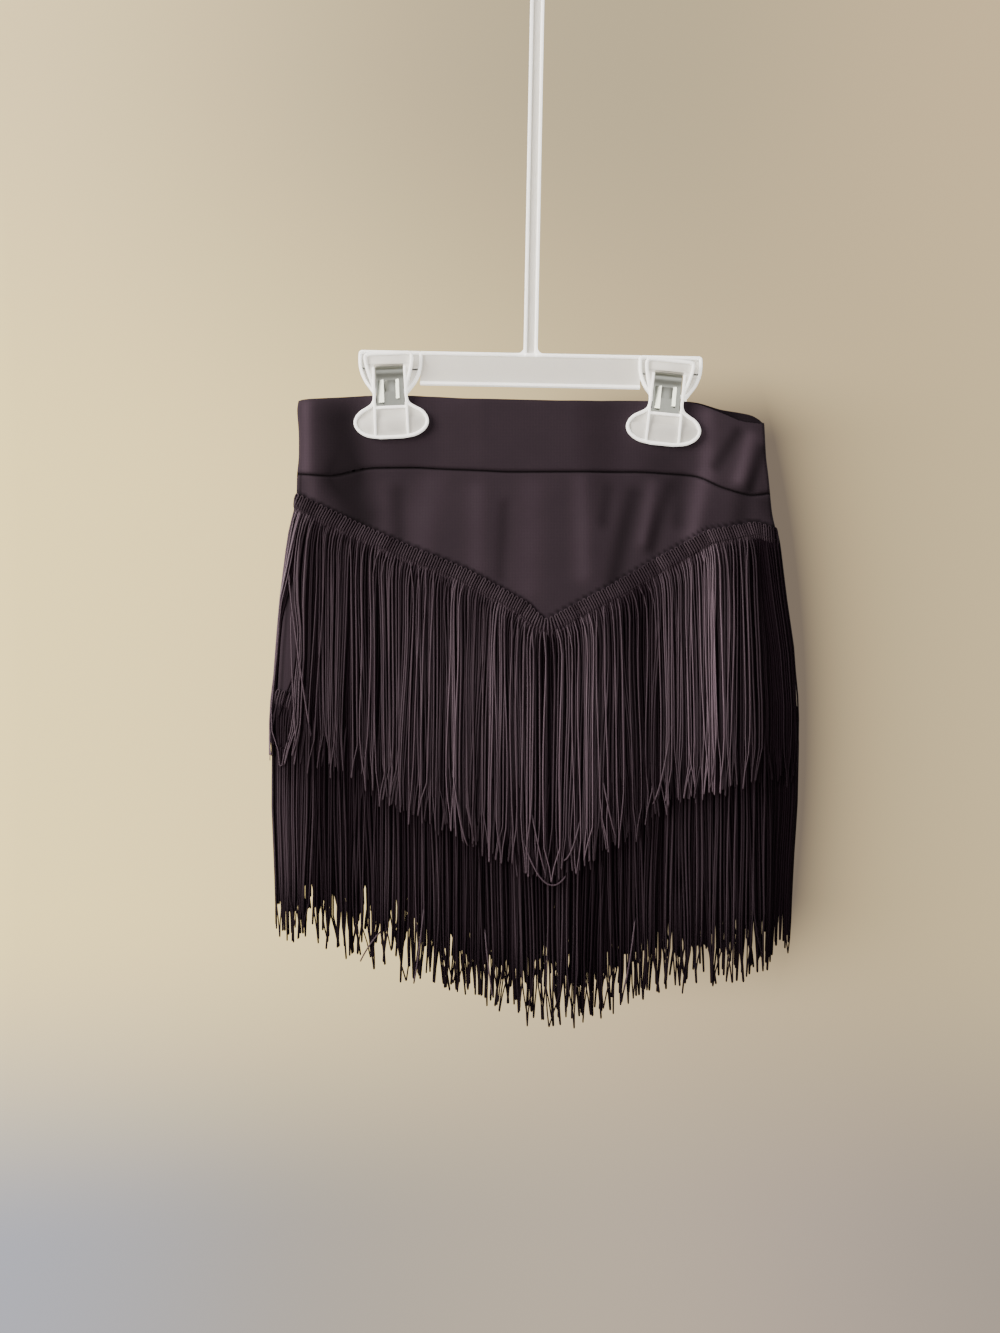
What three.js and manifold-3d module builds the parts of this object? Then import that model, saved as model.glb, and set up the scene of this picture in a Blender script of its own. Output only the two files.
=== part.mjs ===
// A fringe ballroom skirt hung by two pinch clips from a moulded hanger.
// Millimetres, +Z up, +X to the right as the skirt is looked at, the front of the skirt towards -Y.
// The origin is the inner top of the hook, where a rail carries it.
import * as THREE from 'three';
import { mergeVertices } from 'three/addons/utils/BufferGeometryUtils.js';
import Module from 'manifold-3d';

const wasm = await Module();
wasm.setup();

// ---------------------------------------------------------------- driving dimensions

const SEAM = 0.3;              // gap between pieces that touch

const HANGER = {
  tilt: 1.1,                   // degrees that the hanger leans, its right end lower
  barTop: -327,
  barHeight: 24.4,
  barDepth: 6,
  stemWidth: 10.4,
  stemDepth: 6,
  web: 2.4,                    // thickness of the sunk middle of stem and bar
  rim: 2,                      // width of the raised edges
  hookRadius: 19,              // inside
  hookStart: -38,              // degrees round the hook, from its right side
  hookEnd: 198,
  hookSteps: 16,
  bendBottom: -66,             // where the stem starts to bend into the hook
  neckPull: 14,
  neckSteps: 6,
};

const CLIP = {
  offset: 103.5,               // of each clip from the stem, for 254 mm over both, a ten inch hanger
  toeIn: 4.5,                  // degrees that the cloth's pull turns each lever, its jaw inwards
  pivotZ: -352,
  jawY: 1.95,                  // inner face of each jaw from the middle plane
  plate: 1.7,                  // thickness of the lever's plate
  rimHeight: 2.2,              // of the raised rim and ribs over the plate
  rimWidth: 2.1,
  lean: 0.13,                  // the lever leans out by this much for each millimetre up
  leanFrom: -362,
  windowHalf: 10.7,
  windowTop: -338,
  windowBottom: -365.5,
  ribX: 11.8,                  // the two upright ribs
  ribWidth: 1.6,
  ribBottom: -391.5,
  crossRibTop: -368.2,
  crossRibHeight: 1.9,
  shieldY: 0.4,                // front face of the hanger's end plate
  shieldThick: 2.6,
  shieldRim: 1.6,
};

const SPRING = { width: 17, thick: 0.8, bend: 3.4, top: -341.6, foot: -367.8, footY: 4.5 };

const CLOTH = {
  wall: 1.4,
  edgeRadius: 3,               // round of the folded sides
  hem: -661,
  tipColumn: 0.525,            // where across the width the fringe comes to its point
  leftColumns: 13,
  rightColumns: 12,
  bandRows: 4,
  bodyRows: 9,
  pinchHalf: 30,               // half width that each clip holds flat
  pinchFade: 40,
  pinchBottom: -394,
  pinchDrop: 70,
};

const FRINGE = {
  strands: 48,                 // locks in each row
  gap: 0.5,                    // header strip off the cloth
  strip: 1.2,                  // its thickness
  stripHeight: 10.5,
  rootDepth: 2.5,              // how far a lock's root reaches into the strip
  width: 5,                    // of one lock
  thick: 1.5,
  rootWidth: 3.2,
  rootThick: 0.8,
  tipScale: 0.55,
  lowerOff: 1.5,               // middle of a lower lock from the cloth
  upperOff: 4.2,               // an upper one hangs over the lower row
  sway: 0.7,
};

// Half outline of a lever, from its top middle round the tab, the neck and the oval jaw.
const LEVER_OUTLINE = [
  { x: 14.5, z: -329 }, { x: 17.4, z: -330.2 }, { x: 18.2, z: -333.5 }, { x: 17.8, z: -340 },
  { x: 16.2, z: -348 }, { x: 14, z: -354.5 }, { x: 13, z: -359.5 }, { x: 14, z: -363.8 },
  { x: 18.3, z: -367.4 }, { x: 23, z: -371 }, { x: 26.6, z: -375.4 }, { x: 27.6, z: -380 },
  { x: 25.2, z: -385.7 }, { x: 20, z: -389.7 }, { x: 12, z: -392.2 },
];
const JAW_TOP = -348;          // the hanger's own jaw has the same outline from here down
const JAW_MIDDLE = -380;

// Half outline of the hanger's end plate behind a lever.
const SHIELD_OUTLINE = [
  { x: 21.4, z: -327 }, { x: 23.3, z: -329 }, { x: 23.3, z: -338.5 }, { x: 21.6, z: -345 },
  { x: 18, z: -351 }, { x: 14.2, z: -356.4 },
];

// Side edges of the folded skirt, from the waist to the hem.
const EDGES = [
  { z: -360, left: -177.5, right: 165 }, { z: -366, left: -179.5, right: 166 },
  { z: -385, left: -177.8, right: 167 }, { z: -405, left: -177.8, right: 168 },
  { z: -415, left: -179.2, right: 169.5 }, { z: -446, left: -179.7, right: 172.4 },
  { z: -468, left: -183.5, right: 178 }, { z: -509, left: -188.7, right: 183 },
  { z: -546, left: -191.7, right: 188.5 }, { z: -583, left: -193.9, right: 190.5 },
  { z: -661, left: -194.6, right: 189 },
];

// Waist edge of the band; at the right it droops, more at the front than at the back.
const WAIST = [
  { x: -180, front: -362.5, back: -362.5 }, { x: -174, front: -361.2, back: -361.2 },
  { x: -124, front: -358.3, back: -358.3 }, { x: -94, front: -358.3, back: -358.3 },
  { x: -51, front: -361, back: -360 }, { x: 15, front: -362.6, back: -361.5 },
  { x: 108, front: -362.4, back: -362.2 }, { x: 119, front: -365, back: -363.6 },
  { x: 134, front: -370.8, back: -368.6 }, { x: 149, front: -377.8, back: -370.5 },
  { x: 159, front: -379, back: -372.5 }, { x: 167, front: -379.6, back: -378.6 },
];

// Seam between band and body.
const WAIST_SEAM = [
  { x: -179, front: -416, back: -416 }, { x: -152, front: -418, back: -416.5 },
  { x: -126, front: -411.6, back: -412.5 }, { x: -90, front: -411.4, back: -412 },
  { x: -24, front: -415, back: -415 }, { x: 77, front: -414.6, back: -415.5 },
  { x: 118, front: -417.7, back: -419 }, { x: 134, front: -426, back: -424 },
  { x: 156, front: -432.6, back: -430 }, { x: 170, front: -430.4, back: -430.4 },
];

// How far each wall stands out from its folded side, down the skirt.
const SWELL = [
  { z: -358, front: 3.2, back: 2.6 }, { z: -416, front: 3.8, back: 3.2 },
  { z: -661, front: 9.5, back: 8.5 },
];

// Soft folds: a line across the cloth, its half width and its height, hollow where negative.
const FRONT_FOLDS = [
  { x0: -171, z0: -366, x1: -171, z1: -410, width: 8, height: 1.4 },
  { x0: -149, z0: -362, x1: -150, z1: -412, width: 14, height: -2.2 },
  { x0: 152, z0: -380, x1: 131, z1: -416, width: 10, height: 3.2 },
  { x0: 163, z0: -398, x1: 163, z1: -426, width: 7, height: -1.6 },
  { x0: -152, z0: -421, x1: -146, z1: -446, width: 12, height: -2 },
  { x0: -114, z0: -424, x1: -118, z1: -458, width: 13, height: 1.8 },
  { x0: -36, z0: -430, x1: -40, z1: -480, width: 14, height: 1.7 },
  { x0: 10, z0: -430, x1: 8, z1: -500, width: 13, height: 1.4 },
  { x0: 105, z0: -426, x1: 66, z1: -492, width: 12, height: -2 },
  { x0: 128, z0: -430, x1: 108, z1: -452, width: 11, height: 2.2 },
];
const BACK_FOLDS = [
  { x0: -160, z0: -366, x1: -158, z1: -410, width: 12, height: -1.8 },
  { x0: 20, z0: -364, x1: 14, z1: -412, width: 18, height: 2 },
  { x0: 148, z0: -376, x1: 136, z1: -412, width: 12, height: 2.4 },
  { x0: -118, z0: -424, x1: -84, z1: -470, width: 13, height: -1.8 },
  { x0: -20, z0: -424, x1: -14, z1: -486, width: 15, height: 1.8 },
  { x0: 62, z0: -424, x1: 56, z1: -474, width: 13, height: -1.6 },
  { x0: 122, z0: -428, x1: 104, z1: -456, width: 12, height: 2 },
];

// Top edge of the upper header strip, and of the lower one under the locks.
const UPPER_HEADER = [
  { x: -180, z: -430.5 }, { x: -146, z: -447 }, { x: -99, z: -468.4 }, { x: -53, z: -487 },
  { x: -8, z: -512 }, { x: 4.4, z: -525.4 }, { x: 12, z: -520.5 }, { x: 55.5, z: -497.3 },
  { x: 84.4, z: -480.3 }, { x: 122, z: -459 }, { x: 160, z: -452 }, { x: 173, z: -456.5 },
];
const LOWER_HEADER = [
  { x: -195, z: -575 }, { x: -100, z: -598 }, { x: -40, z: -615 }, { x: 4.4, z: -630 },
  { x: 60, z: -612 }, { x: 120, z: -596 }, { x: 191, z: -588 },
];

// Where the locks end.
const UPPER_TIPS = [
  { x: -200, z: -625 }, { x: -175, z: -630 }, { x: -136, z: -642 }, { x: -106, z: -662 },
  { x: -70, z: -675 }, { x: -38, z: -690 }, { x: 4.4, z: -716.5 }, { x: 46, z: -694 },
  { x: 78, z: -673 }, { x: 95, z: -658 }, { x: 122, z: -653 }, { x: 158, z: -647.5 },
  { x: 196, z: -641.5 },
];
const LOWER_TIPS = [
  { x: -198, z: -753 }, { x: -184, z: -762 }, { x: -162, z: -758.5 }, { x: -140, z: -769.5 },
  { x: -99, z: -773 }, { x: -95, z: -786.5 }, { x: -66, z: -794 }, { x: -29, z: -805 },
  { x: 4.4, z: -821 }, { x: 38, z: -816 }, { x: 71, z: -798 }, { x: 112, z: -790.5 },
  { x: 152, z: -788.5 }, { x: 184, z: -767 }, { x: 194, z: -760 },
];
const BACK_TIP_RISE = 20;      // the back rows end this much higher

// ---------------------------------------------------------------- materials

const MATERIALS = {
  jersey: { color: 0x3b3036, roughness: 0.85, metalness: 0 },
  fringe: { color: 0x282126, roughness: 0.6, metalness: 0 },
  plastic: { color: 0xe0ddd4, roughness: 0.4, metalness: 0 },
  steel: { color: 0xa9a8a4, roughness: 0.35, metalness: 1 },
};

// ---------------------------------------------------------------- small helpers

const mix = (a, b, t) => a + (b - a) * t;
const radians = (degrees) => (degrees * Math.PI) / 180;

function smooth(t) {
  const c = Math.min(1, Math.max(0, t));
  return c * c * (3 - 2 * c);
}

// Reads one column of a table by straight lines between its rows, whichever way they run.
function read(table, at, value, where) {
  const rising = table[1][at] > table[0][at];
  const rows = rising ? table : [...table].reverse();
  if (where <= rows[0][at]) return rows[0][value];
  for (let i = 1; i < rows.length; i += 1) {
    if (where <= rows[i][at]) {
      const t = (where - rows[i - 1][at]) / (rows[i][at] - rows[i - 1][at]);
      return mix(rows[i - 1][value], rows[i][value], t);
    }
  }
  return rows[rows.length - 1][value];
}

// A repeatable uneven number from -1 to 1 for lock number n.
function uneven(n, kind) {
  const s = Math.sin(n * 127.1 + kind * 311.7) * 43758.5453;
  return 2 * (s - Math.floor(s)) - 1;
}

function toSolid(geometry) {
  const bare = geometry.clone();
  bare.deleteAttribute('normal');
  bare.deleteAttribute('uv');
  const merged = mergeVertices(bare, 1e-4);
  return new wasm.Manifold(new wasm.Mesh({
    numProp: 3,
    vertProperties: new Float32Array(merged.attributes.position.array),
    triVerts: new Uint32Array(merged.index.array),
  }));
}

function toGeometry(solid) {
  const mesh = solid.getMesh();
  const geometry = new THREE.BufferGeometry();
  geometry.setAttribute('position', new THREE.BufferAttribute(mesh.vertProperties, 3));
  geometry.setIndex(new THREE.BufferAttribute(mesh.triVerts, 1));
  geometry.computeVertexNormals();
  return geometry;
}

const joined = (solids) => solids.reduce((whole, next) => whole.add(next));

function piece(name, geometry, material) {
  const mesh = new THREE.Mesh(geometry, new THREE.MeshStandardMaterial(MATERIALS[material]));
  mesh.name = name;
  return mesh;
}

// A closed body from rings of equally many points: skin between rings, and a cap at each end.
function loft(rings) {
  const sides = rings[0].length;
  const index = [];
  for (let r = 0; r + 1 < rings.length; r += 1) {
    for (let i = 0; i < sides; i += 1) {
      const a = r * sides + i;
      const b = r * sides + ((i + 1) % sides);
      index.push(a, b, b + sides, a, b + sides, a + sides);
    }
  }
  const last = (rings.length - 1) * sides;
  for (let i = 1; i + 1 < sides; i += 1) {
    index.push(0, i + 1, i);
    index.push(last, last + i, last + i + 1);
  }
  const geometry = new THREE.BufferGeometry();
  geometry.setAttribute('position', new THREE.Float32BufferAttribute(rings.flat(2), 3));
  geometry.setIndex(index);
  return geometry;
}

// ---------------------------------------------------------------- hanger, in its own upright frame

// Stations along the middle line of stem and hook: a point, and the direction across the rail.
function railStations() {
  const middle = HANGER.hookRadius + HANGER.stemWidth / 2;
  const centre = -HANGER.hookRadius;
  const start = radians(HANGER.hookStart);
  const turn = (angle) => new THREE.Vector3(Math.cos(angle), 0, Math.sin(angle));
  const foot = new THREE.Vector3(0, 0, HANGER.barTop - HANGER.rim);
  const bend = new THREE.Vector3(0, 0, HANGER.bendBottom);
  const from = turn(start).multiplyScalar(middle).setZ(centre + middle * Math.sin(start));
  const neck = new THREE.CubicBezierCurve3(
    bend,
    bend.clone().add(new THREE.Vector3(0, 0, HANGER.neckPull)),
    from.clone().addScaledVector(turn(start + Math.PI / 2), -HANGER.neckPull),
    from,
  );
  const stations = [{ point: foot, across: new THREE.Vector3(1, 0, 0) }];
  for (let i = 0; i < HANGER.neckSteps; i += 1) {
    const along = neck.getTangent(i / HANGER.neckSteps);
    stations.push({
      point: neck.getPoint(i / HANGER.neckSteps),
      across: new THREE.Vector3(along.z, 0, -along.x),
    });
  }
  for (let i = 0; i <= HANGER.hookSteps; i += 1) {
    const angle = mix(start, radians(HANGER.hookEnd), i / HANGER.hookSteps);
    const across = turn(angle);
    stations.push({ point: across.clone().multiplyScalar(middle).add(new THREE.Vector3(0, 0, centre)), across });
  }
  return stations;
}

// One flat strip of the rail, between two distances across it and as deep each way as given.
function railStrip(low, high, deep) {
  return loft(railStations().map(({ point, across }) => (
    [[low, -deep], [high, -deep], [high, deep], [low, deep]].map(([by, y]) => {
      const p = point.clone().addScaledVector(across, by);
      return [p.x, y, p.z];
    }))));
}

// An upright plate: an outline in X and Z, from one depth to another, with an optional hole.
function plate(outline, near, far, hole = null) {
  const shape = new THREE.Shape(outline.map((p) => new THREE.Vector2(p.x, p.z)));
  if (hole) shape.holes.push(new THREE.Path(hole.map((p) => new THREE.Vector2(p.x, p.z))));
  const geometry = new THREE.ExtrudeGeometry(shape, { depth: far - near, bevelEnabled: false });
  geometry.rotateX(Math.PI / 2);
  geometry.translate(0, far, 0);
  return geometry;
}

function box(x0, x1, y0, y1, z0, z1) {
  const geometry = new THREE.BoxGeometry(x1 - x0, y1 - y0, z1 - z0);
  geometry.translate((x0 + x1) / 2, (y0 + y1) / 2, (z0 + z1) / 2);
  return geometry;
}

// A whole outline from its right half: smooth where steps are given, and mirrored.
function mirrored(half, steps = 0) {
  const points = half.map((p) => new THREE.Vector2(p.x, p.z));
  const right = steps ? new THREE.SplineCurve(points).getPoints(steps) : points;
  const left = [...right].reverse().map((p) => new THREE.Vector2(-p.x, p.y));
  return [...left, ...right].reverse().map((p) => ({ x: p.x, z: p.y }));
}

// The same outline moved in by a distance: each corner lies where its two moved edges meet.
function inset(outline, by) {
  const n = outline.length;
  const sideways = (a, b) => {
    const length = Math.hypot(b.x - a.x, b.z - a.z);
    return { x: -(b.z - a.z) / length, z: (b.x - a.x) / length };
  };
  return outline.map((p, i) => {
    const before = sideways(outline[(i + n - 1) % n], p);
    const after = sideways(p, outline[(i + 1) % n]);
    const reach = by / (1 + before.x * after.x + before.z * after.z);
    return { x: p.x + reach * (before.x + after.x), z: p.z + reach * (before.z + after.z) };
  });
}

const OUTLINE_STEPS = 18;
const LEVER = mirrored(LEVER_OUTLINE, OUTLINE_STEPS);
const JAW = mirrored([{ x: 15.6, z: JAW_TOP }, ...LEVER_OUTLINE.filter((p) => p.z < JAW_TOP)], 12);
const SHIELD = mirrored(SHIELD_OUTLINE);

const windowCut = (near, far) => box(
  -CLIP.windowHalf, CLIP.windowHalf, near, far, CLIP.windowBottom, CLIP.windowTop,
);

function buildHanger() {
  const wide = HANGER.stemWidth / 2;
  const sunk = wide - HANGER.rim / 2;
  const shieldHalf = Math.max(...SHIELD_OUTLINE.map((p) => p.x));
  const half = CLIP.offset - shieldHalf + HANGER.rim;
  const bottom = HANGER.barTop - HANGER.barHeight;
  const d = HANGER.barDepth / 2;
  const web = HANGER.web / 2;
  const parts = [
    toSolid(railStrip(-sunk, sunk, web)),
    toSolid(railStrip(-wide, -wide + HANGER.rim, HANGER.stemDepth / 2)),
    toSolid(railStrip(wide - HANGER.rim, wide, HANGER.stemDepth / 2)),
    toSolid(box(-half, half, -web, web, bottom, HANGER.barTop)),
    toSolid(box(-half, half, -d, d, HANGER.barTop - HANGER.rim, HANGER.barTop)),
    toSolid(box(-half, half, -d, d, bottom, bottom + HANGER.rim)),
  ];
  const shieldFar = CLIP.shieldY + CLIP.shieldThick;
  for (const side of [-1, 1]) {
    const end = joined([
      toSolid(plate(SHIELD, CLIP.shieldY, shieldFar)),
      toSolid(plate(SHIELD, -CLIP.shieldRim, shieldFar, inset(SHIELD, CLIP.rimWidth).reverse())),
      toSolid(plate(JAW, CLIP.jawY, CLIP.jawY + CLIP.plate)),
      toSolid(plate(JAW, CLIP.jawY, CLIP.jawY + CLIP.plate + CLIP.rimHeight, inset(JAW, CLIP.rimWidth).reverse())),
    ]).subtract(toSolid(windowCut(-HANGER.barDepth, 2 * HANGER.barDepth)));
    parts.push(end.translate([side * CLIP.offset, 0, 0]));
  }
  return toGeometry(joined(parts));
}

function buildLever() {
  const front = -CLIP.jawY - CLIP.plate;
  const ribFront = front - CLIP.rimHeight;
  const solids = [
    plate(LEVER, front, -CLIP.jawY),
    plate(LEVER, ribFront, -CLIP.jawY, inset(LEVER, CLIP.rimWidth).reverse()),
    box(-CLIP.ribX, CLIP.ribX, ribFront, -CLIP.jawY,
      CLIP.crossRibTop - CLIP.crossRibHeight, CLIP.crossRibTop),
  ];
  for (const side of [-1, 1]) {
    const x = side * CLIP.ribX;
    solids.push(box(x - CLIP.ribWidth / 2, x + CLIP.ribWidth / 2, ribFront, -CLIP.jawY,
      CLIP.ribBottom, CLIP.windowTop));
  }
  const whole = joined(solids.map(toSolid)).subtract(toSolid(windowCut(2 * ribFront, 0)));
  const geometry = toGeometry(whole);
  const p = geometry.attributes.position;
  for (let i = 0; i < p.count; i += 1) {
    p.setY(i, p.getY(i) - Math.max(0, p.getZ(i) - CLIP.leanFrom) * CLIP.lean);
  }
  return geometry;
}

// The steel strip: a foot on each jaw, and a bend over the top between the windows.
function buildSpring() {
  const line = [];
  const bendZ = SPRING.top - SPRING.bend;
  const steps = 8;
  line.push([-SPRING.footY, SPRING.foot]);
  for (let i = 0; i <= steps; i += 1) {
    const a = Math.PI - (Math.PI * i) / steps;
    line.push([SPRING.bend * Math.cos(a), bendZ + SPRING.bend * Math.sin(a)]);
  }
  line.push([SPRING.footY, SPRING.foot]);
  const rings = line.map(([y, z], i) => {
    const before = line[Math.max(0, i - 1)];
    const after = line[Math.min(line.length - 1, i + 1)];
    const length = Math.hypot(after[0] - before[0], after[1] - before[1]);
    const ny = (-(after[1] - before[1]) / length) * (SPRING.thick / 2);
    const nz = ((after[0] - before[0]) / length) * (SPRING.thick / 2);
    const w = SPRING.width / 2;
    return [[-w, y + ny, z + nz], [w, y + ny, z + nz], [w, y - ny, z - nz], [-w, y - ny, z - nz]];
  });
  return loft(rings);
}

// ---------------------------------------------------------------- cloth

// Columns across a wall: three round each folded side, the rest spread to the point and on.
function clothColumns() {
  const turns = [0, 30, 60];
  const columns = turns.map((turn) => ({ s: 0, turn: radians(turn), way: -1 }));
  for (let i = 0; i <= CLOTH.leftColumns; i += 1) {
    columns.push({ s: (CLOTH.tipColumn * i) / CLOTH.leftColumns, turn: Math.PI / 2, way: 0 });
  }
  for (let i = 1; i <= CLOTH.rightColumns; i += 1) {
    columns.push({ s: mix(CLOTH.tipColumn, 1, i / CLOTH.rightColumns), turn: Math.PI / 2, way: 0 });
  }
  return [...columns, ...turns.reverse().map((turn) => ({ s: 1, turn: radians(turn), way: 1 }))];
}

const COLUMNS = clothColumns();

// Centre of a clip on the cloth, where the leaning hanger brings it.
function clipX(side) {
  const swing = Math.sin(radians(CLIP.toeIn)) * (CLIP.pivotZ - JAW_MIDDLE);
  return side * (CLIP.offset - swing) + Math.sin(radians(HANGER.tilt)) * JAW_MIDDLE;
}

function pinch(x, z) {
  const down = 1 - smooth((CLOTH.pinchBottom - z) / CLOTH.pinchDrop);
  const across = [-1, 1].map((side) => (
    1 - smooth((Math.abs(x - clipX(side)) - CLOTH.pinchHalf) / CLOTH.pinchFade)));
  return down * Math.max(...across);
}

function foldHeight(folds, x, z) {
  let height = 0;
  for (const f of folds) {
    const dx = f.x1 - f.x0;
    const dz = f.z1 - f.z0;
    const t = Math.min(1, Math.max(0, ((x - f.x0) * dx + (z - f.z0) * dz) / (dx * dx + dz * dz)));
    const away = Math.hypot(x - f.x0 - t * dx, z - f.z0 - t * dz) / f.width;
    height += f.height * Math.exp(-away * away);
  }
  return height;
}

// Outer surface of a wall at one place; face is 'front' or 'back'.
function surface(face, column, z, x) {
  const across = 2 * column.s - 1;
  const swell = read(SWELL, 'z', face, z) * (1 - across ** 6);
  const folds = foldHeight(face === 'front' ? FRONT_FOLDS : BACK_FOLDS, x, z);
  const free = CLOTH.edgeRadius + Math.max(0, swell + folds * (1 - across ** 10));
  const held = CLOTH.wall + 0.1;
  const depth = SEAM / 2 + mix(free, held, pinch(x, z)) * Math.sin(column.turn);
  return face === 'front' ? -depth : depth;
}

// The outer points of a wall, row by row from its upper line to its lower one.
function outerGrid(face, rows, upper, lower) {
  const grid = [];
  for (let r = 0; r < rows; r += 1) {
    const v = r / (rows - 1);
    const level = (x) => mix(upper(x), lower(x), v);
    const left = read(EDGES, 'z', 'left', level(-180));
    const right = read(EDGES, 'z', 'right', level(170));
    grid.push(COLUMNS.map((column) => {
      const round = CLOTH.edgeRadius;
      const x = mix(left + round, right - round, column.s) + column.way * round * Math.cos(column.turn);
      const z = level(x);
      return new THREE.Vector3(x, surface(face, column, z, x), z);
    }));
  }
  return grid;
}

// Outward direction of a wall at each column of one row, level with the floor.
function outward(row, face) {
  const facing = face === 'front' ? 1 : -1;
  return row.map((p, i) => {
    if (i === 0) return new THREE.Vector3(-1, 0, 0);
    if (i === row.length - 1) return new THREE.Vector3(1, 0, 0);
    const a = row[i - 1];
    const b = row[i + 1];
    return new THREE.Vector3((b.y - a.y) * facing, -(b.x - a.x) * facing, 0).normalize();
  });
}

// A closed wall from its outer points: the inner ones lie the wall's thickness inside.
function wall(grid, face) {
  const inner = grid.map((row) => {
    const normals = outward(row, face);
    return row.map((p, i) => p.clone().addScaledVector(normals[i], -CLOTH.wall));
  });
  return sheetBody(grid, inner, face);
}

// Joins an outer and an inner grid of points into one closed body.
function sheetBody(outer, inner, face) {
  const rows = outer.length;
  const columns = outer[0].length;
  const at = (layer, r, c) => layer * rows * columns + r * columns + c;
  const index = [];
  const quad = (a, b, c, d) => {
    if (face === 'front') index.push(a, b, c, a, c, d);
    else index.push(a, c, b, a, d, c);
  };
  for (let r = 0; r + 1 < rows; r += 1) {
    for (let c = 0; c + 1 < columns; c += 1) {
      quad(at(0, r, c), at(0, r + 1, c), at(0, r + 1, c + 1), at(0, r, c + 1));
      quad(at(1, r, c), at(1, r, c + 1), at(1, r + 1, c + 1), at(1, r + 1, c));
    }
    const end = columns - 1;
    quad(at(0, r, 0), at(1, r, 0), at(1, r + 1, 0), at(0, r + 1, 0));
    quad(at(0, r, end), at(0, r + 1, end), at(1, r + 1, end), at(1, r, end));
  }
  const low = rows - 1;
  for (let c = 0; c + 1 < columns; c += 1) {
    quad(at(0, 0, c), at(0, 0, c + 1), at(1, 0, c + 1), at(1, 0, c));
    quad(at(0, low, c), at(1, low, c), at(1, low, c + 1), at(0, low, c + 1));
  }
  const points = [outer, inner].flat(2).flatMap((p) => [p.x, p.y, p.z]);
  const geometry = new THREE.BufferGeometry();
  geometry.setAttribute('position', new THREE.Float32BufferAttribute(points, 3));
  geometry.setIndex(index);
  return geometry;
}

const bandGrid = (face) => outerGrid(face, CLOTH.bandRows,
  (x) => read(WAIST, 'x', face, x), (x) => read(WAIST_SEAM, 'x', face, x));

const bodyGrid = (face) => outerGrid(face, CLOTH.bodyRows,
  (x) => read(WAIST_SEAM, 'x', face, x) - SEAM, () => CLOTH.hem);

// ---------------------------------------------------------------- fringe

// A point of the body wall at a column, which may lie between two, moved out by a distance.
// Below the hem it hangs straight down from it.
function offPanel(grid, face, column, z, off) {
  const c = Math.min(Math.floor(column), COLUMNS.length - 2);
  const t = column - c;
  const across = grid.map((row) => {
    const normals = outward(row, face);
    const p = row[c].clone().lerp(row[c + 1], t);
    const n = normals[c].clone().lerp(normals[c + 1], t).normalize();
    return { p, n };
  });
  let r = 0;
  while (r + 2 < across.length && across[r + 1].p.z > z) r += 1;
  const drop = Math.min(1, (across[r].p.z - z) / (across[r].p.z - across[r + 1].p.z));
  const normal = across[r].n.clone().lerp(across[r + 1].n, drop).normalize();
  const point = across[r].p.clone().lerp(across[r + 1].p, drop).addScaledVector(normal, off);
  point.z = z;
  return { point, normal };
}

// The header strip: a narrow band along its line, made from the body's own columns moved out.
function headerStrip(grid, face, line) {
  const layers = [FRINGE.gap + FRINGE.strip, FRINGE.gap].map((off) => [0, FRINGE.stripHeight].map((down) => (
    COLUMNS.map((_, c) => {
      const x = grid[Math.floor(CLOTH.bodyRows / 2)][c].x;
      return offPanel(grid, face, c, read(line, 'x', 'z', x) - down, off).point;
    }))));
  return sheetBody(layers[0], layers[1], face);
}

// One lock: a three sided strand, flat towards the cloth and ridged outside, from inside the
// strip, out, and down to its tip.
function lock(grid, face, column, number, row) {
  const { point: mid } = offPanel(grid, face, column, CLOTH.hem, 0);
  const top = read(row.line, 'x', 'z', mid.x) - FRINGE.stripHeight + FRINGE.rootDepth;
  const rise = face === 'back' ? BACK_TIP_RISE : 0;
  const tip = read(row.tips, 'x', 'z', mid.x) + rise + 2.5 * uneven(number, row.seed);
  const levels = row.levels[face].map((t) => mix(top, tip, t));
  const rings = levels.map((z, i) => {
    const root = i === 0;
    const clear = i === 1 ? FRINGE.lowerOff : row.off;
    const off = root ? FRINGE.gap + FRINGE.strip / 2 : clear;
    const { point, normal } = offPanel(grid, face, column, z, off);
    const along = new THREE.Vector3(-normal.y, normal.x, 0);
    const last = i === levels.length - 1;
    const sway = FRINGE.sway * uneven(number, row.seed + 7 + i) * (i > 1 ? 1 : 0);
    point.addScaledVector(along, sway);
    const scale = last ? FRINGE.tipScale : 1;
    const w = (root ? FRINGE.rootWidth : FRINGE.width * scale) / 2;
    const t = (root ? FRINGE.rootThick : FRINGE.thick * scale) / 2;
    return [[w, -t / 2], [0, t], [-w, -t / 2]].map(([across, out]) => (
      point.clone().addScaledVector(along, across).addScaledVector(normal, out).toArray()));
  });
  return loft(rings);
}

const BEND = 0.055;            // just under the strip, as a share of a lock's length
const ROWS = {
  upper: {
    line: UPPER_HEADER,
    tips: UPPER_TIPS,
    off: FRINGE.upperOff,
    seed: 3,
    levels: { front: [0, BEND, 0.35, 0.66, 1], back: [0, BEND, 0.5, 1] },
  },
  lower: {
    line: LOWER_HEADER,
    tips: LOWER_TIPS,
    off: FRINGE.lowerOff,
    seed: 5,
    levels: { front: [0, BEND, 0.46, 1], back: [0, BEND, 0.46, 1] },
  },
};

// Column of lock number k: even steps over the flat of the wall, from side to side.
function lockColumn(k) {
  const s = k / (FRINGE.strands - 1);
  const first = 3;
  if (k === 0) return first - 0.7;
  if (k === FRINGE.strands - 1) return COLUMNS.length - 1 - first + 0.7;
  if (s < CLOTH.tipColumn) return first + (s / CLOTH.tipColumn) * CLOTH.leftColumns;
  return first + CLOTH.leftColumns
    + ((s - CLOTH.tipColumn) / (1 - CLOTH.tipColumn)) * CLOTH.rightColumns;
}

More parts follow.
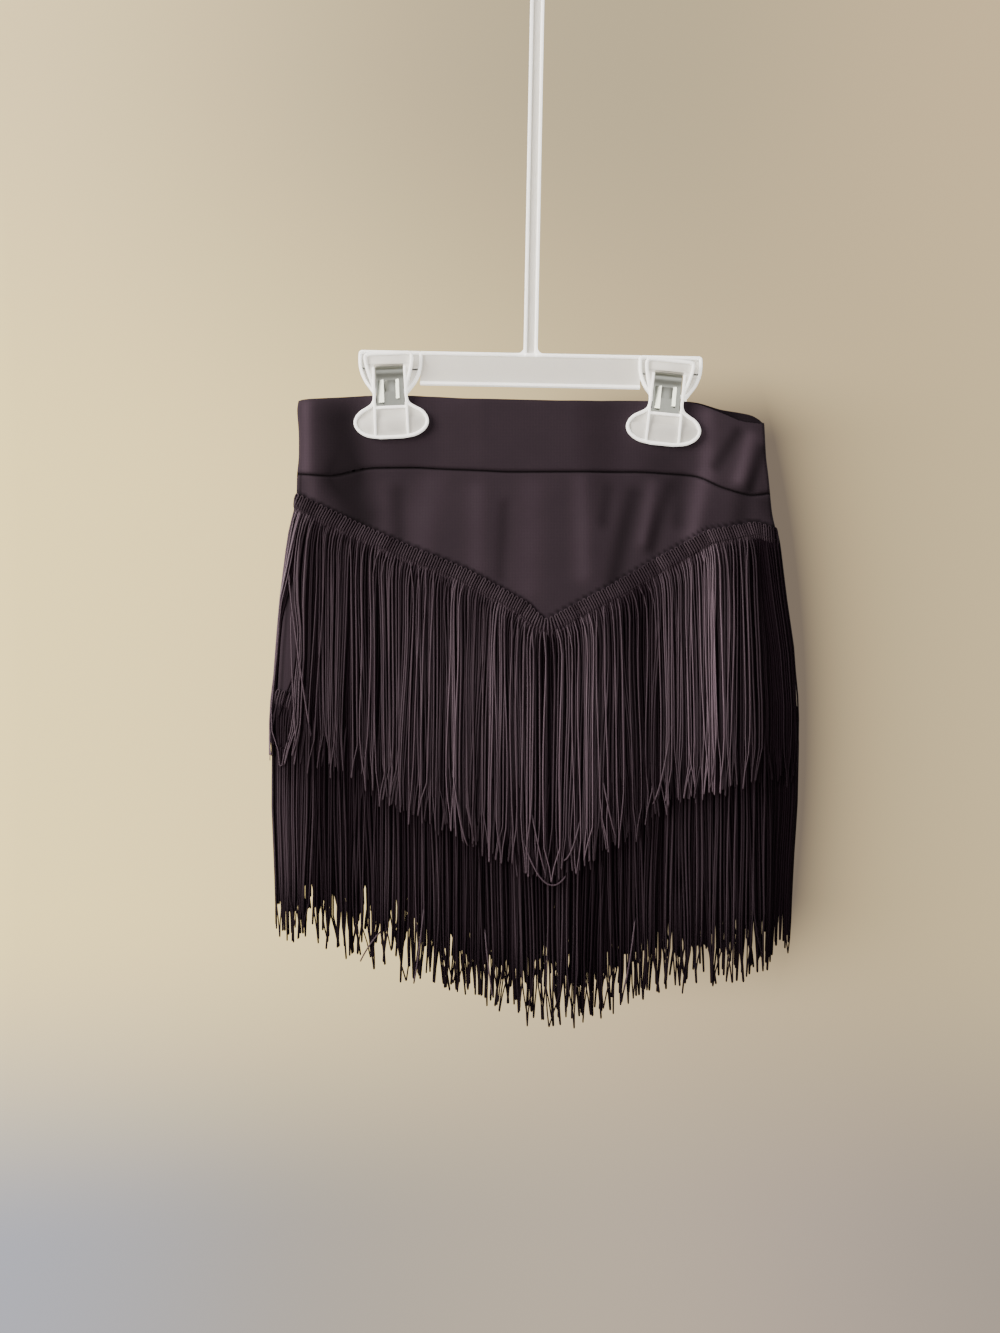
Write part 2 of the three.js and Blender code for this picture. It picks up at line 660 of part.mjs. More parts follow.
function buildFringe(grid, face, row) {
  const locks = Array.from({ length: FRINGE.strands }, (_, k) => (
    toSolid(lock(grid, face, lockColumn(k), k, row))));
  return toGeometry(wasm.Manifold.union([toSolid(headerStrip(grid, face, row.line)), ...locks]));
}

// ---------------------------------------------------------------- the whole

const model = new THREE.Group();

const hanger = new THREE.Group();
hanger.rotation.y = radians(HANGER.tilt);
hanger.add(piece('hanger', buildHanger(), 'plastic'));
for (const [name, side] of [['left', -1], ['right', 1]]) {
  const lever = piece(`clip_lever_${name}`, buildLever(), 'plastic');
  const spring = piece(`clip_spring_${name}`, buildSpring(), 'steel');
  const pivot = new THREE.Group();
  pivot.position.set(side * CLIP.offset, 0, CLIP.pivotZ);
  pivot.rotation.y = side * radians(CLIP.toeIn);
  for (const part of [lever, spring]) {
    part.position.z = -CLIP.pivotZ;
    pivot.add(part);
  }
  hanger.add(pivot);
}
model.add(hanger);

for (const face of ['front', 'back']) {
  const body = bodyGrid(face);
  model.add(piece(`waistband_${face}`, wall(bandGrid(face), face), 'jersey'));
  model.add(piece(`skirt_${face}`, wall(body, face), 'jersey'));
  for (const [name, row] of Object.entries(ROWS)) {
    model.add(piece(`fringe_${name}_${face}`, buildFringe(body, face, row), 'fringe'));
  }
}

export default model;
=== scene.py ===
"""A fringe ballroom skirt hung by two pinch clips from a moulded hanger.

Everything is in metres, +Z up, the front of the skirt towards -Y, and the origin is the inner top
of the hook. Tables and sizes given in millimetres are turned to metres with MM.
"""
import math

import bmesh
import bpy
import numpy as np
from bpy.props import FloatProperty, IntProperty, PointerProperty, StringProperty
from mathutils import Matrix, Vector


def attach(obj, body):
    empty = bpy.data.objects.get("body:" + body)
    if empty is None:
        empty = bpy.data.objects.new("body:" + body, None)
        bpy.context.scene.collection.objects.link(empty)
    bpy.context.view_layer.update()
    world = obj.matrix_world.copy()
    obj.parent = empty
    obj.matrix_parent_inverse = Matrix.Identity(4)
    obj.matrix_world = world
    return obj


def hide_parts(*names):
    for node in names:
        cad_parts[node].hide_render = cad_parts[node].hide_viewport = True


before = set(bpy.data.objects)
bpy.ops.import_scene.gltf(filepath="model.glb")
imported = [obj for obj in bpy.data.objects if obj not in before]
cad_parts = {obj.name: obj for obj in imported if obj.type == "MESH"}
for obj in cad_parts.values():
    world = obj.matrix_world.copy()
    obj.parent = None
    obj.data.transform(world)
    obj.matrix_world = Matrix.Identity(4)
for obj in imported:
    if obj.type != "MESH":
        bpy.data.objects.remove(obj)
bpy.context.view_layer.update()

bl_info = {
    "name": "Fringe Ballroom Skirt",
    "version": (1, 0, 0),
    "blender": (4, 5, 0),
    "location": "3D View > Sidebar > Skirt",
    "description": "Builds a stretch skirt with two rows of chainette fringe on a clip hanger",
    "category": "Add Mesh",
}

MM = 0.001
BODY = "root"
FACES = ("front", "back")


# ------------------------------------------------------------------ tables

class Table:
    """Named columns of millimetres, read in metres along a smoothed line through the rows."""

    def __init__(self, names, rows, soften=0.0):
        names = names.split()
        data = np.array(sorted(rows), float) * MM
        self.at = np.arange(data[0, 0], data[-1, 0] + MM / 2, MM)
        self.columns = {}
        for i, name in enumerate(names[1:], 1):
            line = np.interp(self.at, data[:, 0], data[:, i])
            if soften:
                reach = int(3 * soften)
                kernel = np.exp(-0.5 * (np.arange(-reach, reach + 1) / soften) ** 2)
                padded = np.pad(line, reach, mode="reflect", reflect_type="odd")
                line = np.convolve(padded, kernel / kernel.sum(), mode="valid")
            self.columns[name] = line

    def __call__(self, name, where):
        return np.interp(where, self.at, self.columns[name])


# Side edges of the folded skirt.
EDGES = Table("z left right", [
    (-360, -177.5, 165), (-366, -179.5, 166), (-385, -177.8, 167), (-405, -177.8, 168),
    (-415, -179.2, 169.5), (-446, -179.7, 172.4), (-468, -183.5, 178), (-509, -188.7, 183),
    (-546, -191.7, 188.5), (-583, -193.9, 190.5), (-661, -194.6, 189), (-700, -193.0, 186.5),
    (-760, -191.0, 184.0), (-830, -190.0, 183.0),
], soften=4)

# Waist edge of the band. At the right it droops, more at the front than at the back.
WAIST = Table("x front back", [
    (-180, -362.5, -362.5), (-174, -361.2, -361.2), (-124, -358.3, -358.3),
    (-94, -358.3, -358.3), (-51, -361, -360), (15, -362.6, -361.5), (108, -362.4, -362.2),
    (119, -365, -363.6), (134, -370.8, -368.6), (149, -377.8, -370.5), (159, -379, -372.5),
    (167, -379.6, -378.6),
], soften=3)

# Seam between band and body.
WAIST_SEAM = Table("x front back", [
    (-179, -416, -416), (-152, -418, -416.5), (-126, -411.6, -412.5), (-90, -411.4, -412),
    (-24, -415, -415), (77, -414.6, -415.5), (118, -417.7, -419), (134, -426, -424),
    (156, -432.6, -430), (170, -430.4, -430.4),
], soften=5)

# How far each wall stands out from its folded side.
SWELL = Table("z front back", [(-358, 3.2, 2.6), (-416, 3.8, 3.2), (-661, 9.5, 8.5)])

# Top edges of both header tapes, and where the strands of each row end.
HEADERS = {
    "upper": Table("x z", [
        (-180, -430.5), (-146, -447), (-99, -468.4), (-53, -487), (-8, -512), (4.4, -525.4),
        (12, -520.5), (55.5, -497.3), (84.4, -480.3), (122, -459), (160, -452), (173, -456.5),
    ], soften=2.5),
    "lower": Table("x z", [
        (-195, -575), (-100, -598), (-40, -615), (4.4, -630), (60, -612), (120, -596),
        (191, -588),
    ], soften=2.5),
}
TIPS = {
    "upper": Table("x z", [
        (-200, -625), (-175, -630), (-136, -642), (-106, -662), (-70, -675), (-38, -690),
        (4.4, -716.5), (46, -694), (78, -673), (95, -658), (122, -653), (158, -647.5),
        (196, -641.5),
    ], soften=2),
    "lower": Table("x z", [
        (-198, -753), (-184, -762), (-162, -758.5), (-140, -769.5), (-99, -773), (-95, -786.5),
        (-66, -794), (-29, -805), (4.4, -821), (38, -816), (71, -798), (112, -790.5),
        (152, -788.5), (184, -767), (194, -760),
    ], soften=1),
}

# Soft folds: a line across the cloth, its half width and height, hollow where negative.
FOLD_NAMES = ("x0", "z0", "x1", "z1", "width", "height")
FOLDS = {
    "front": [
        (-172, -366, -172, -412, 6, 2.6), (-146, -378, -143, -413, 14, -4.2),
        (-100, -398, -98, -413, 20, -0.7), (-60, -382, -58, -412, 16, -0.5),
        (97, -398, 90, -412, 14, -1.1), (123, -372, 124, -413, 7, 2.6),
        (147, -386, 131, -410, 4.5, -2.2), (157, -390, 148, -420, 6, 2.8),
        (165, -398, 157, -427, 3.5, -3.2),
        (-144, -421, -131, -450, 14, -4.0), (-167, -424, -168, -438, 6, 1.2),
        (-114, -424, -114, -455, 6, 0.4), (-103, -430, -101, -462, 6, -1.3),
        (-80, -424, -84, -470, 11, 1.0), (-44, -430, -44, -484, 8, 0.9),
        (-24, -440, -27, -492, 5, -0.9), (-3, -430, -6, -500, 12, 0.9),
        (33, -424, 34, -490, 8, 1.4), (52, -428, 49, -452, 5, -1.2),
        (71, -432, 57, -496, 6.5, -1.9), (84, -424, 77, -466, 5.5, 1.4),
        (97, -426, 84, -472, 5.5, -1.8), (104, -420, 104, -452, 6, -1.3),
        (121, -424, 114, -462, 8, 2.4),
        (153, -432, 150, -456, 7, -1.8), (170, -438, 178, -452, 7, -2.4),
    ],
    "back": [
        (-160, -366, -158, -410, 12, -2.8), (20, -364, 14, -412, 16, 1.6),
        (-40, -370, -44, -410, 12, -1.6), (148, -376, 136, -412, 10, 2.2),
        (-118, -424, -84, -470, 11, -2.8), (-140, -424, -132, -448, 8, 1.4),
        (-20, -424, -14, -486, 13, 1.4), (62, -424, 56, -474, 11, -2.4),
        (36, -424, 30, -486, 9, 0.9), (122, -428, 104, -456, 10, 2.0),
        (150, -432, 146, -448, 6, -2.0),
    ],
}

# The strands of a row, from the cloth outwards. A deep strand is close and straight and its
# tone paints it dark, as shade; one further out is painted paler, as light, and gathers with
# its neighbours. short is how far a layer ends above the tips.
LAYER_NAMES = ("pitch", "radius", "off", "spread", "tone", "grip", "uneven", "short", "sides")
LAYERS = [
    (1.40, 0.74, 0.9, 0.5, 0.0, 0.05, 3.0, 21, 4),
    (1.80, 0.62, 1.9, 0.9, 0.15, 0.40, 3.4, 4.2, 4),
    (2.20, 0.62, 3.0, 1.6, 0.36, 0.60, 3.8, 0, 5),
    (6.00, 0.60, 4.4, 1.4, 0.58, 0.60, 4.0, 0, 5),
]

# How the strands of a row stand from left to right: 1 where they come forward, -1 where they
# sink back. The same line moves them out or in a little and paints them paler, as light, or
# darker, as shade.
STAND = {
    "upper": [(-195, 2.0), (-184, 0.3), (-168, -1.0), (-136, -0.9), (-112, -0.3), (-92, -0.7),
              (-75, -0.2), (36, 0.0), (50, -0.3), (70, -1.2), (86, 0.0), (100, -0.4), (117, 0.5),
              (132, 0.3), (150, -0.4), (176, -1.3)],
    "lower": [(-195, 2.4), (-180, 1.3), (-164, 0.3), (-136, -0.6), (-106, 0.5), (-92, -0.4),
              (-76, 0.2), (-48, -0.4), (-20, 0.2), (12, 0.1), (28, -0.5), (50, -1.2), (78, -0.2),
              (117, 0.4), (132, 0.4), (160, -0.6), (176, -0.8)],
}

# Where a row parts and shows what lies under it: place, half width, and reach across and down.
PART_NAMES = ("x", "z", "spread", "across", "down")
PARTINGS = {
    ("front", "upper"): [(-184, -546, 8, 9, 40), (-185, -598, 6, 8, 24)],
    ("front", "lower"): [],
    ("back", "upper"): [(172, -546, 8, 8, 40), (173, -598, 6, 8, 24)],
    ("back", "lower"): [],
}

# Single strands that hang loose in front: two ends, how far the bow sags, and how far out it is.
STRAY_NAMES = ("x0", "z0", "x1", "z1", "sag", "out")
STRAYS = {
    "front": [
        (-14, -679, 20, -710, 20, 5.5), (-6, -664, 5, -712, 3, 5.2), (30, -668, 17, -700, 7, 5.2),
        (-116, -752, -131, -774, -2, 2.5), (-184, -490, -166, -614, 2, 3.5),
        (-182, -518, -177, -624, 2, 3.5), (46, -640, 56, -684, 4, 5.0), (96, -600, 82, -660, 8, 5.0),
        (-64, -630, -52, -690, 9, 5.2), (130, -590, 124, -648, 6, 5.0), (-40, -750, -34, -800, 5, 3.2),
        (70, -740, 60, -800, 6, 3.2), (-84, -730, -92, -790, 6, 3.2),
    ],
    "back": [
        (60, -600, 40, -660, 12, 5.0), (-50, -590, -66, -652, 10, 5.0), (10, -720, 22, -774, 6, 3.2),
        (-110, -600, -118, -632, 8, 5.0), (120, -700, 128, -742, 6, 3.2),
    ],
}

# Half outline of a lever from its top middle, and of the hanger's end plate behind it.
LEVER_OUTLINE = [
    (14.5, -329), (17.4, -330.2), (18.2, -333.5), (17.6, -338.6), (15.7, -346), (13.8, -352),
    (12.9, -357.5), (12.9, -362.4), (14.4, -366.0), (18.2, -368.7), (22.6, -371.2), (26.0, -374.8),
    (27.6, -379.2), (26.6, -383.8), (23.2, -387.6), (17.4, -390.6), (8.5, -392.1),
]
SHIELD_OUTLINE = [
    (21.4, -327), (23.3, -329), (23.4, -337), (22.2, -343.1), (19.4, -349.6), (16.2, -354),
    (13.6, -357.6),
]

# Tones of the plain wall from left to right, high, in the middle and low. They paint the
# light and shade on the wall: brightest and warmest to the left in the middle and high.
WALL = {
    "high": [(0.03, "#eed59d"), (0.36, "#a99979"), (0.66, "#9a8c6f"), (0.85, "#ad9976"),
             (1.0, "#b09b77")],
    "middle": [(0.03, "#ffe39b"), (0.36, "#e1ca91"), (0.62, "#baa47d"), (0.85, "#ab9873"),
               (1.0, "#b19f79")],
    "low": [(0.03, "#9395a0"), (0.3, "#90887c"), (0.58, "#a09280"), (0.82, "#908377"),
            (1.0, "#847a6f")],
}


# ------------------------------------------------------------------ what a user may change

def length(name, text, millimetres):
    return FloatProperty(name=name, description=text, default=millimetres * MM, subtype="DISTANCE",
                         unit="LENGTH")


def tone(name, text, colour):
    return StringProperty(name=name, description=text, default=colour)


class SkirtCloth(bpy.types.PropertyGroup):
    """Sizes of the band and the body."""
    wall: length("Wall", "Thickness of the cloth", 1.1)
    seam: length("Seam", "Gap between cut edges that meet", 0.3)
    allowance: length("Seam allowance", "How far the body goes up inside the band", 4)
    edge_radius: length("Side round", "Radius of the folded sides", 3)
    hem: length("Hem", "Height of the hem under the hook", -661)
    pinch_half: length("Pinched half width", "Half width that each clip holds flat", 30)
    pinch_fade: length("Pinch fade", "How far beside a clip the cloth opens again", 40)
    pinch_bottom: length("Pinch bottom", "Where the cloth starts to open under a clip", -394)
    pinch_drop: length("Pinch drop", "How far under a clip it is fully open", 70)
    columns: IntProperty(name="Columns", description="Faces across a wall", default=190, min=40)
    jersey: tone("Jersey", "Colour of the stretch jersey", "#2d252c")


class SkirtFringe(bpy.types.PropertyGroup):
    """Sizes of the chainette fringe."""
    header: length("Header", "Depth of the stitched header", 9.6)
    ridge_pitch: length("Ridge pitch", "Distance between the cords of the header", 1.95)
    ridge_radius: length("Ridge radius", "Half thickness of a header cord", 0.76)
    loop_rise: length("Loop rise", "How far the small loops stand over the header", 1.1)
    back_rise: length("Back rise", "How much higher the back rows end", 21)
    bend: length("Bend", "How soon a strand turns from the header to the fall", 6)
    over_lower: length("Over lower", "How far the upper row swings out over the lower header", 2.2)
    steps: IntProperty(name="Steps", description="Points down the fall of a strand", default=14)
    seed: IntProperty(name="Seed", description="Which uneven fall is drawn", default=11)
    # Both colours are of one black yarn: the first is painted near black, as shade, for strands that
    # lie deep, the second paler, as light, for strands that hang in front.
    yarn: tone("Yarn", "Colour of chainette that lies deep", "#0a0108")
    yarn_painted_lit: tone("Lit yarn", "Colour of chainette that hangs in front", "#5e505b")


class SkirtHanger(bpy.types.PropertyGroup):
    """Sizes of the clip hanger."""
    tilt: FloatProperty(name="Tilt", description="Lean of the hanger, its right end lower",
                        default=math.radians(1.1), subtype="ANGLE", unit="ROTATION")
    toe_in: FloatProperty(name="Toe in", description="Turn of each lever, its jaw inwards",
                          default=math.radians(4.5), subtype="ANGLE", unit="ROTATION")
    toe_in_left: FloatProperty(name="Toe in left", description="The same for the left lever",
                               default=math.radians(3.5), subtype="ANGLE", unit="ROTATION")
    slip_in: length("Slip in", "How far the right lever has slipped inwards on its pivot", 2.3)
    slip_down: length("Slip down", "How far the right lever has slipped down", 1.3)
    clip_offset: length("Clip offset", "Each clip's distance from the stem", 103.5)
    jaw_gap: length("Jaw gap", "Inner face of a jaw from the middle plane", 1.95)
    plate: length("Plate", "Thickness of a lever's plate", 1.7)
    rib: length("Rib", "Height of ribs and rims over the plate", 2.2)
    lean: FloatProperty(name="Lean", description="How far a lever leans out as it goes up",
                        default=0.13)
    lean_from: length("Lean from", "Height from which a lever leans out", -362)
    shield_y: length("End plate", "Front face of the hanger's end plates", 0.4)
    shield_thick: length("End plate thickness", "Thickness of the end plates", 2.6)
    shield_rim: length("End plate rim", "How far its rim stands forward", 3.3)
    pivot_z: length("Pivot", "Height of a lever's pivot", -352)
    bar_top: length("Bar top", "Height of the bar's top edge", -327)
    bar_height: length("Bar height", "Height of the bar", 24.4)
    depth: length("Depth", "Depth of bar and stem", 6)
    stem_width: length("Stem width", "Width of stem and hook", 10.4)
    web: length("Web", "Thickness of the sunk middle", 2.4)
    rim: length("Rim", "Width of the raised edges", 2.0)
    hook_radius: length("Hook radius", "Inside radius of the hook", 19)
    plastic: tone("Plastic", "Colour of the moulded polypropylene", "#fbfaf6")
    # The plastic's white made greyer as painted shade: most on webs, end plates and lower faces, less
    # on flat tab faces.
    web_painted_shade: tone("Thin web", "Colour where the moulding is thin", "#dddbd5")
    face_painted_shade: tone("Flat faces", "Colour of the flat faces of tabs", "#f2f0ea")
    # Painted light: an emission that makes ribs and rims whiter, though the plastic is no lamp.
    painted_glow: FloatProperty(name="Rim glow", description="Light that comes out at ribs and rims",
                        default=0.9)
    steel: tone("Steel", "Colour of the spring strip", "#7e817a")


class SkirtStage(bpy.types.PropertyGroup):
    """Camera, lights, wall and floor."""
    distance: length("Distance", "Camera to the middle plane of the skirt", 1250)
    centre_x: length("Centre X", "Middle of the view across", -28.9)
    centre_z: length("Centre Z", "Middle of the view in height", -558.3)
    view_height: length("View height", "Height of the view at the skirt", 986.4)
    floor_z: length("Floor", "Height of the floor", -1800)
    floor_radius: length("Floor radius", "Reach of the floor", 1850)
    wall_strength: FloatProperty(name="Wall light", description="Brightness of the wall", default=2.0)
    room_strength: FloatProperty(name="Room light", description="Light that the room sends back",
                                 default=0.5)
    room_tone: tone("Room", "Colour of the light that the room sends back", "#ece2d6")
    wall_shade: tone("Wall shade", "Soft shade on the wall beside the skirt", "#5c5247")
    floor_tone: tone("Floor", "Colour of the pale floor", "#cfc8bb")


# ------------------------------------------------------------------ small helpers

def mix(a, b, t):
    return a + (b - a) * t


def smooth(t):
    t = np.clip(t, 0.0, 1.0)
    return t * t * (3 - 2 * t)


def linear(colour):
    """An sRGB hex value as linear red, green, blue and 1."""
    parts = [int(colour.lstrip("#")[i:i + 2], 16) / 255 for i in (0, 2, 4)]
    return [c / 12.92 if c <= 0.04045 else ((c + 0.055) / 1.055) ** 2.4 for c in parts] + [1.0]


def shaded(colour, by):
    """A linear colour made darker or paler by a factor."""
    return [c * by for c in colour[:3]] + [1.0]


def new_piece(name, points, faces, materials, node, slot):
    """A smooth mesh object that rides on the body and stands for one solid."""
    mesh = bpy.data.meshes.new(name)
    mesh.from_pydata(np.asarray(points, float).reshape(-1, 3).tolist(), [], faces)
    mesh.validate()
    mesh.update()
    piece = bpy.data.objects.new(name, mesh)
    bpy.context.scene.collection.objects.link(piece)
    mesh.polygons.foreach_set("use_smooth", [True] * len(mesh.polygons))
    for material in materials:
        mesh.materials.append(material)
    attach(piece, BODY)
    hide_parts(node)
    return piece


def point_values(piece, name, values):
    """Stores one value for each point of a piece, for its material to read."""
    column = piece.data.attributes.new(name, "FLOAT", "POINT")
    column.data.foreach_set("value", values)


def wrapped_faces(rows, columns):
    """Quads over a grid of points stored row by row, its last row joined to its first."""
    row = np.arange(rows)[:, None]
    column = np.arange(columns - 1)[None, :]
    a = row * columns + column
    b = (row + 1) % rows * columns + column
    return np.stack([a, b, b + 1, a + 1], -1).reshape(-1, 4).tolist()


# ------------------------------------------------------------------ materials

def add(tree, kind, links=None, values=None, **settings):
    """One shader node with its settings, its socket values and its incoming links."""
    node = tree.nodes.new(kind)
    for key, value in settings.items():
        setattr(node, key, value)
    for key, value in (values or {}).items():
        node.inputs[key].default_value = value
    for key, source in (links or {}).items():
        tree.links.new(source, node.inputs[key])
    return node


def blank_material(name):
    material = bpy.data.materials.new(name)
    material.use_nodes = True
    material.node_tree.nodes.clear()
    return material, material.node_tree


def finish_material(tree, shader):
    output = add(tree, "ShaderNodeOutputMaterial")
    tree.links.new(shader.outputs[0], output.inputs["Surface"])


def jersey_material(colour):
    """Polyester elastane jersey, circular knit and dyed brown black.

    The eye sees a matte, almost velvety black with a faint grain of knit columns, and a little
    pale bloom where the surface turns away. The ridges of its folds are painted paler, as
    light, and the hollows, the inside and a line just above the upper fringe's header are
    painted darker, as shade; the seams are darkened too. The real columns are 0.5 mm apart,
    too fine to show, so they are drawn 1.1 mm apart.
    """
    material, tree = blank_material("polyester_jersey_knit")
    place = add(tree, "ShaderNodeTexCoord")
    column = add(tree, "ShaderNodeTexWave", {"Vector": place.outputs["Object"]},
                 {"Scale": 143.0, "Distortion": 0.7, "Detail": 1.0, "Detail Scale": 3.0},
                 wave_type="BANDS", bands_direction="X")
    course = add(tree, "ShaderNodeTexWave", {"Vector": place.outputs["Object"]},
                 {"Scale": 130.0, "Distortion": 1.0, "Detail": 1.0, "Detail Scale": 2.0},
                 wave_type="BANDS", bands_direction="Z")
    knit = add(tree, "ShaderNodeMix", {2: column.outputs["Fac"], 3: course.outputs["Fac"]},
               {0: 0.4})
    pill = add(tree, "ShaderNodeTexNoise", {"Vector": place.outputs["Object"]},
               {"Scale": 900.0, "Detail": 3.0, "Roughness": 0.6})
    mottle = add(tree, "ShaderNodeTexNoise", {"Vector": place.outputs["Object"]},
                 {"Scale": 34.0, "Detail": 4.0, "Roughness": 0.6})
    relief = add(tree, "ShaderNodeMix", {2: knit.outputs[0], 3: pill.outputs["Fac"]}, {0: 0.45})
    base = linear(colour)
    shade = add(tree, "ShaderNodeMix", {0: mottle.outputs["Fac"]},
                {6: shaded(base, 0.8), 7: shaded(base, 1.22)}, data_type="RGBA")
    grain = add(tree, "ShaderNodeMix", {0: relief.outputs[0], 7: shade.outputs[2]},
                {6: shaded(base, 0.84)}, data_type="RGBA")
    bump = add(tree, "ShaderNodeBump", {"Height": relief.outputs[0]},
               {"Strength": 0.25, "Distance": 0.0003})
    # Painted light and shade from the shell: the cloth colour is scaled up on fold ridges and down in
    # hollows, at seams, over the upper header and on the inside.
    painted_light_and_shade = add(tree, "ShaderNodeAttribute", attribute_name="painted_light_and_shade")
    stops = add(tree, "ShaderNodeMapRange", {"Value": painted_light_and_shade.outputs["Fac"]},
                {"From Min": -3.0, "From Max": 1.0, "To Min": -2.7, "To Max": 0.9})
    painted_light_and_shade_scale = add(tree, "ShaderNodeMath", {1: stops.outputs[0]}, {0: 2.1}, operation="POWER")
    cloth = add(tree, "ShaderNodeVectorMath", {0: grain.outputs[2], "Scale": painted_light_and_shade_scale.outputs[0]},
                operation="SCALE")
    shader = add(tree, "ShaderNodeBsdfPrincipled",
                 {"Base Color": cloth.outputs[0], "Normal": bump.outputs["Normal"]},
                 {"Roughness": 0.9, "Specular IOR Level": 0.06, "Sheen Weight": 0.05,
                  "Sheen Roughness": 0.45, "Sheen Tint": linear("#b3a3a8")})
    finish_material(tree, shader)
    return material


def chainette_material(deep, painted_lit):
    """Rayon chainette yarn, knitted into a chain and dyed black.

    The eye sees fine cords, broken a little by the links of the chain. The real links are 1 mm
    long, too fine to show, so they are drawn 2 mm long. All of it is one black yarn: cords
    that hang in front are painted paler, as light, and have a soft silky line of light; those
    behind are painted near black, as shade, and stay matte.
    """
    material, tree = blank_material("rayon_chainette_yarn")
    run = add(tree, "ShaderNodeAttribute", attribute_name="run")
    tone_and_painted_light = add(tree, "ShaderNodeAttribute", attribute_name="tone_and_painted_light")
    turn = add(tree, "ShaderNodeMath", {0: run.outputs["Fac"]}, {1: 2 * math.pi / 0.002},
               operation="MULTIPLY")
    link = add(tree, "ShaderNodeMath", {0: turn.outputs[0]}, operation="SINE")
    bump = add(tree, "ShaderNodeBump", {"Height": link.outputs[0]},
               {"Strength": 0.3, "Distance": 0.0001})
    # Painted light and shade: each point's tone mixes the shade colour and the pale colour of light.
    shade = add(tree, "ShaderNodeMix", {0: tone_and_painted_light.outputs["Fac"]},
                {6: linear(deep), 7: linear(painted_lit)}, data_type="RGBA")
    silk = add(tree, "ShaderNodeMapRange", {"Value": tone_and_painted_light.outputs["Fac"]},
               {"From Min": 0.0, "From Max": 0.6, "To Min": 0.9, "To Max": 0.45})
    shader = add(tree, "ShaderNodeBsdfPrincipled",
                 {"Base Color": shade.outputs[2], "Normal": bump.outputs["Normal"],
                  "Roughness": silk.outputs[0]},
                 {"Specular IOR Level": 0.12})
    finish_material(tree, shader)
    return material


def moulded_material(name, colour, roughness, painted_glow):
    """Polypropylene, injection moulded, natural white.

    The eye sees a waxy white with a fine orange peel and a few dull scuffs. Its emission is
    painted light that makes ribs and rims look whiter; the web and face whites have none.
    """
    material, tree = blank_material(name)
    place = add(tree, "ShaderNodeTexCoord")
    peel = add(tree, "ShaderNodeTexNoise", {"Vector": place.outputs["Object"]},
               {"Scale": 420.0, "Detail": 2.0})
    scuff = add(tree, "ShaderNodeTexNoise", {"Vector": place.outputs["Object"]},
                {"Scale": 60.0, "Detail": 5.0, "Roughness": 0.7})
    gloss = add(tree, "ShaderNodeMapRange", {"Value": scuff.outputs["Fac"]},
                {"From Min": 0.3, "From Max": 0.7, "To Min": roughness - 0.08,
                 "To Max": roughness + 0.12})
    bump = add(tree, "ShaderNodeBump", {"Height": peel.outputs["Fac"]},
               {"Strength": 0.12, "Distance": 0.0003})
    base = linear(colour)
    shade = add(tree, "ShaderNodeMix", {0: scuff.outputs["Fac"]},
                {6: base, 7: shaded(base, 0.93)}, data_type="RGBA")
    shader = add(tree, "ShaderNodeBsdfPrincipled",
                 {"Base Color": shade.outputs[2], "Roughness": gloss.outputs[0],
                  "Normal": bump.outputs["Normal"]},
                 {"IOR": 1.49, "Subsurface Weight": 0.35, "Subsurface Scale": 0.004,
                  "Subsurface Radius": (1.0, 0.95, 0.85), "Emission Color": base,
                  "Emission Strength": painted_glow})
    finish_material(tree, shader)
    return material


def spring_material(colour):
    """Spring steel strip, cold rolled and bent.

    The eye sees a grey metal with long faint rolling lines and bright edges at its bends.
    """
    material, tree = blank_material("cold_rolled_spring_steel")
    place = add(tree, "ShaderNodeTexCoord")
    stretch = add(tree, "ShaderNodeMapping", {"Vector": place.outputs["Object"]},
                  {"Scale": (2600.0, 300.0, 60.0)})
    lines = add(tree, "ShaderNodeTexNoise", {"Vector": stretch.outputs[0]},
                {"Scale": 1.0, "Detail": 3.0})
    rough = add(tree, "ShaderNodeMapRange", {"Value": lines.outputs["Fac"]},
                {"To Min": 0.24, "To Max": 0.4})
    bump = add(tree, "ShaderNodeBump", {"Height": lines.outputs["Fac"]},
               {"Strength": 0.1, "Distance": 0.0002})
    shader = add(tree, "ShaderNodeBsdfPrincipled",
                 {"Roughness": rough.outputs[0], "Normal": bump.outputs["Normal"]},
                 {"Base Color": linear(colour), "Metallic": 1.0})
    finish_material(tree, shader)
    return material


def floor_material(name, colour):
    """Matt emulsion paint: an even pale surface with no gloss."""
    material, tree = blank_material(name)
    place = add(tree, "ShaderNodeTexCoord")
    cloud = add(tree, "ShaderNodeTexNoise", {"Vector": place.outputs["Object"]},
                {"Scale": 2.0, "Detail": 2.0})
    base = linear(colour)
    shade = add(tree, "ShaderNodeMix", {0: cloud.outputs["Fac"]},
                {6: base, 7: shaded(base, 0.94)}, data_type="RGBA")
    shader = add(tree, "ShaderNodeBsdfPrincipled", {"Base Color": shade.outputs[2]},
                 {"Roughness": 0.95, "Specular IOR Level": 0.1})
    finish_material(tree, shader)
    return material


# ------------------------------------------------------------------ form of the cloth

def clip_x(side):
    """Middle of a jaw on the cloth, where the leaning hanger brings it."""
    hanger = bpy.context.scene.skirt_hanger
    jaw_middle = -380 * MM
    swing = math.sin(hanger.toe_in) * (hanger.pivot_z - jaw_middle)
    return side * (hanger.clip_offset - swing) + math.sin(hanger.tilt) * jaw_middle


def pinch(x, z):
    """1 where a clip holds both walls together, 0 where they hang free."""
    cloth = bpy.context.scene.skirt_cloth
    down = 1 - smooth((cloth.pinch_bottom - z) / cloth.pinch_drop)
    across = [1 - smooth((np.abs(x - clip_x(side)) - cloth.pinch_half) / cloth.pinch_fade)
              for side in (-1, 1)]
    return down * np.maximum(*across)


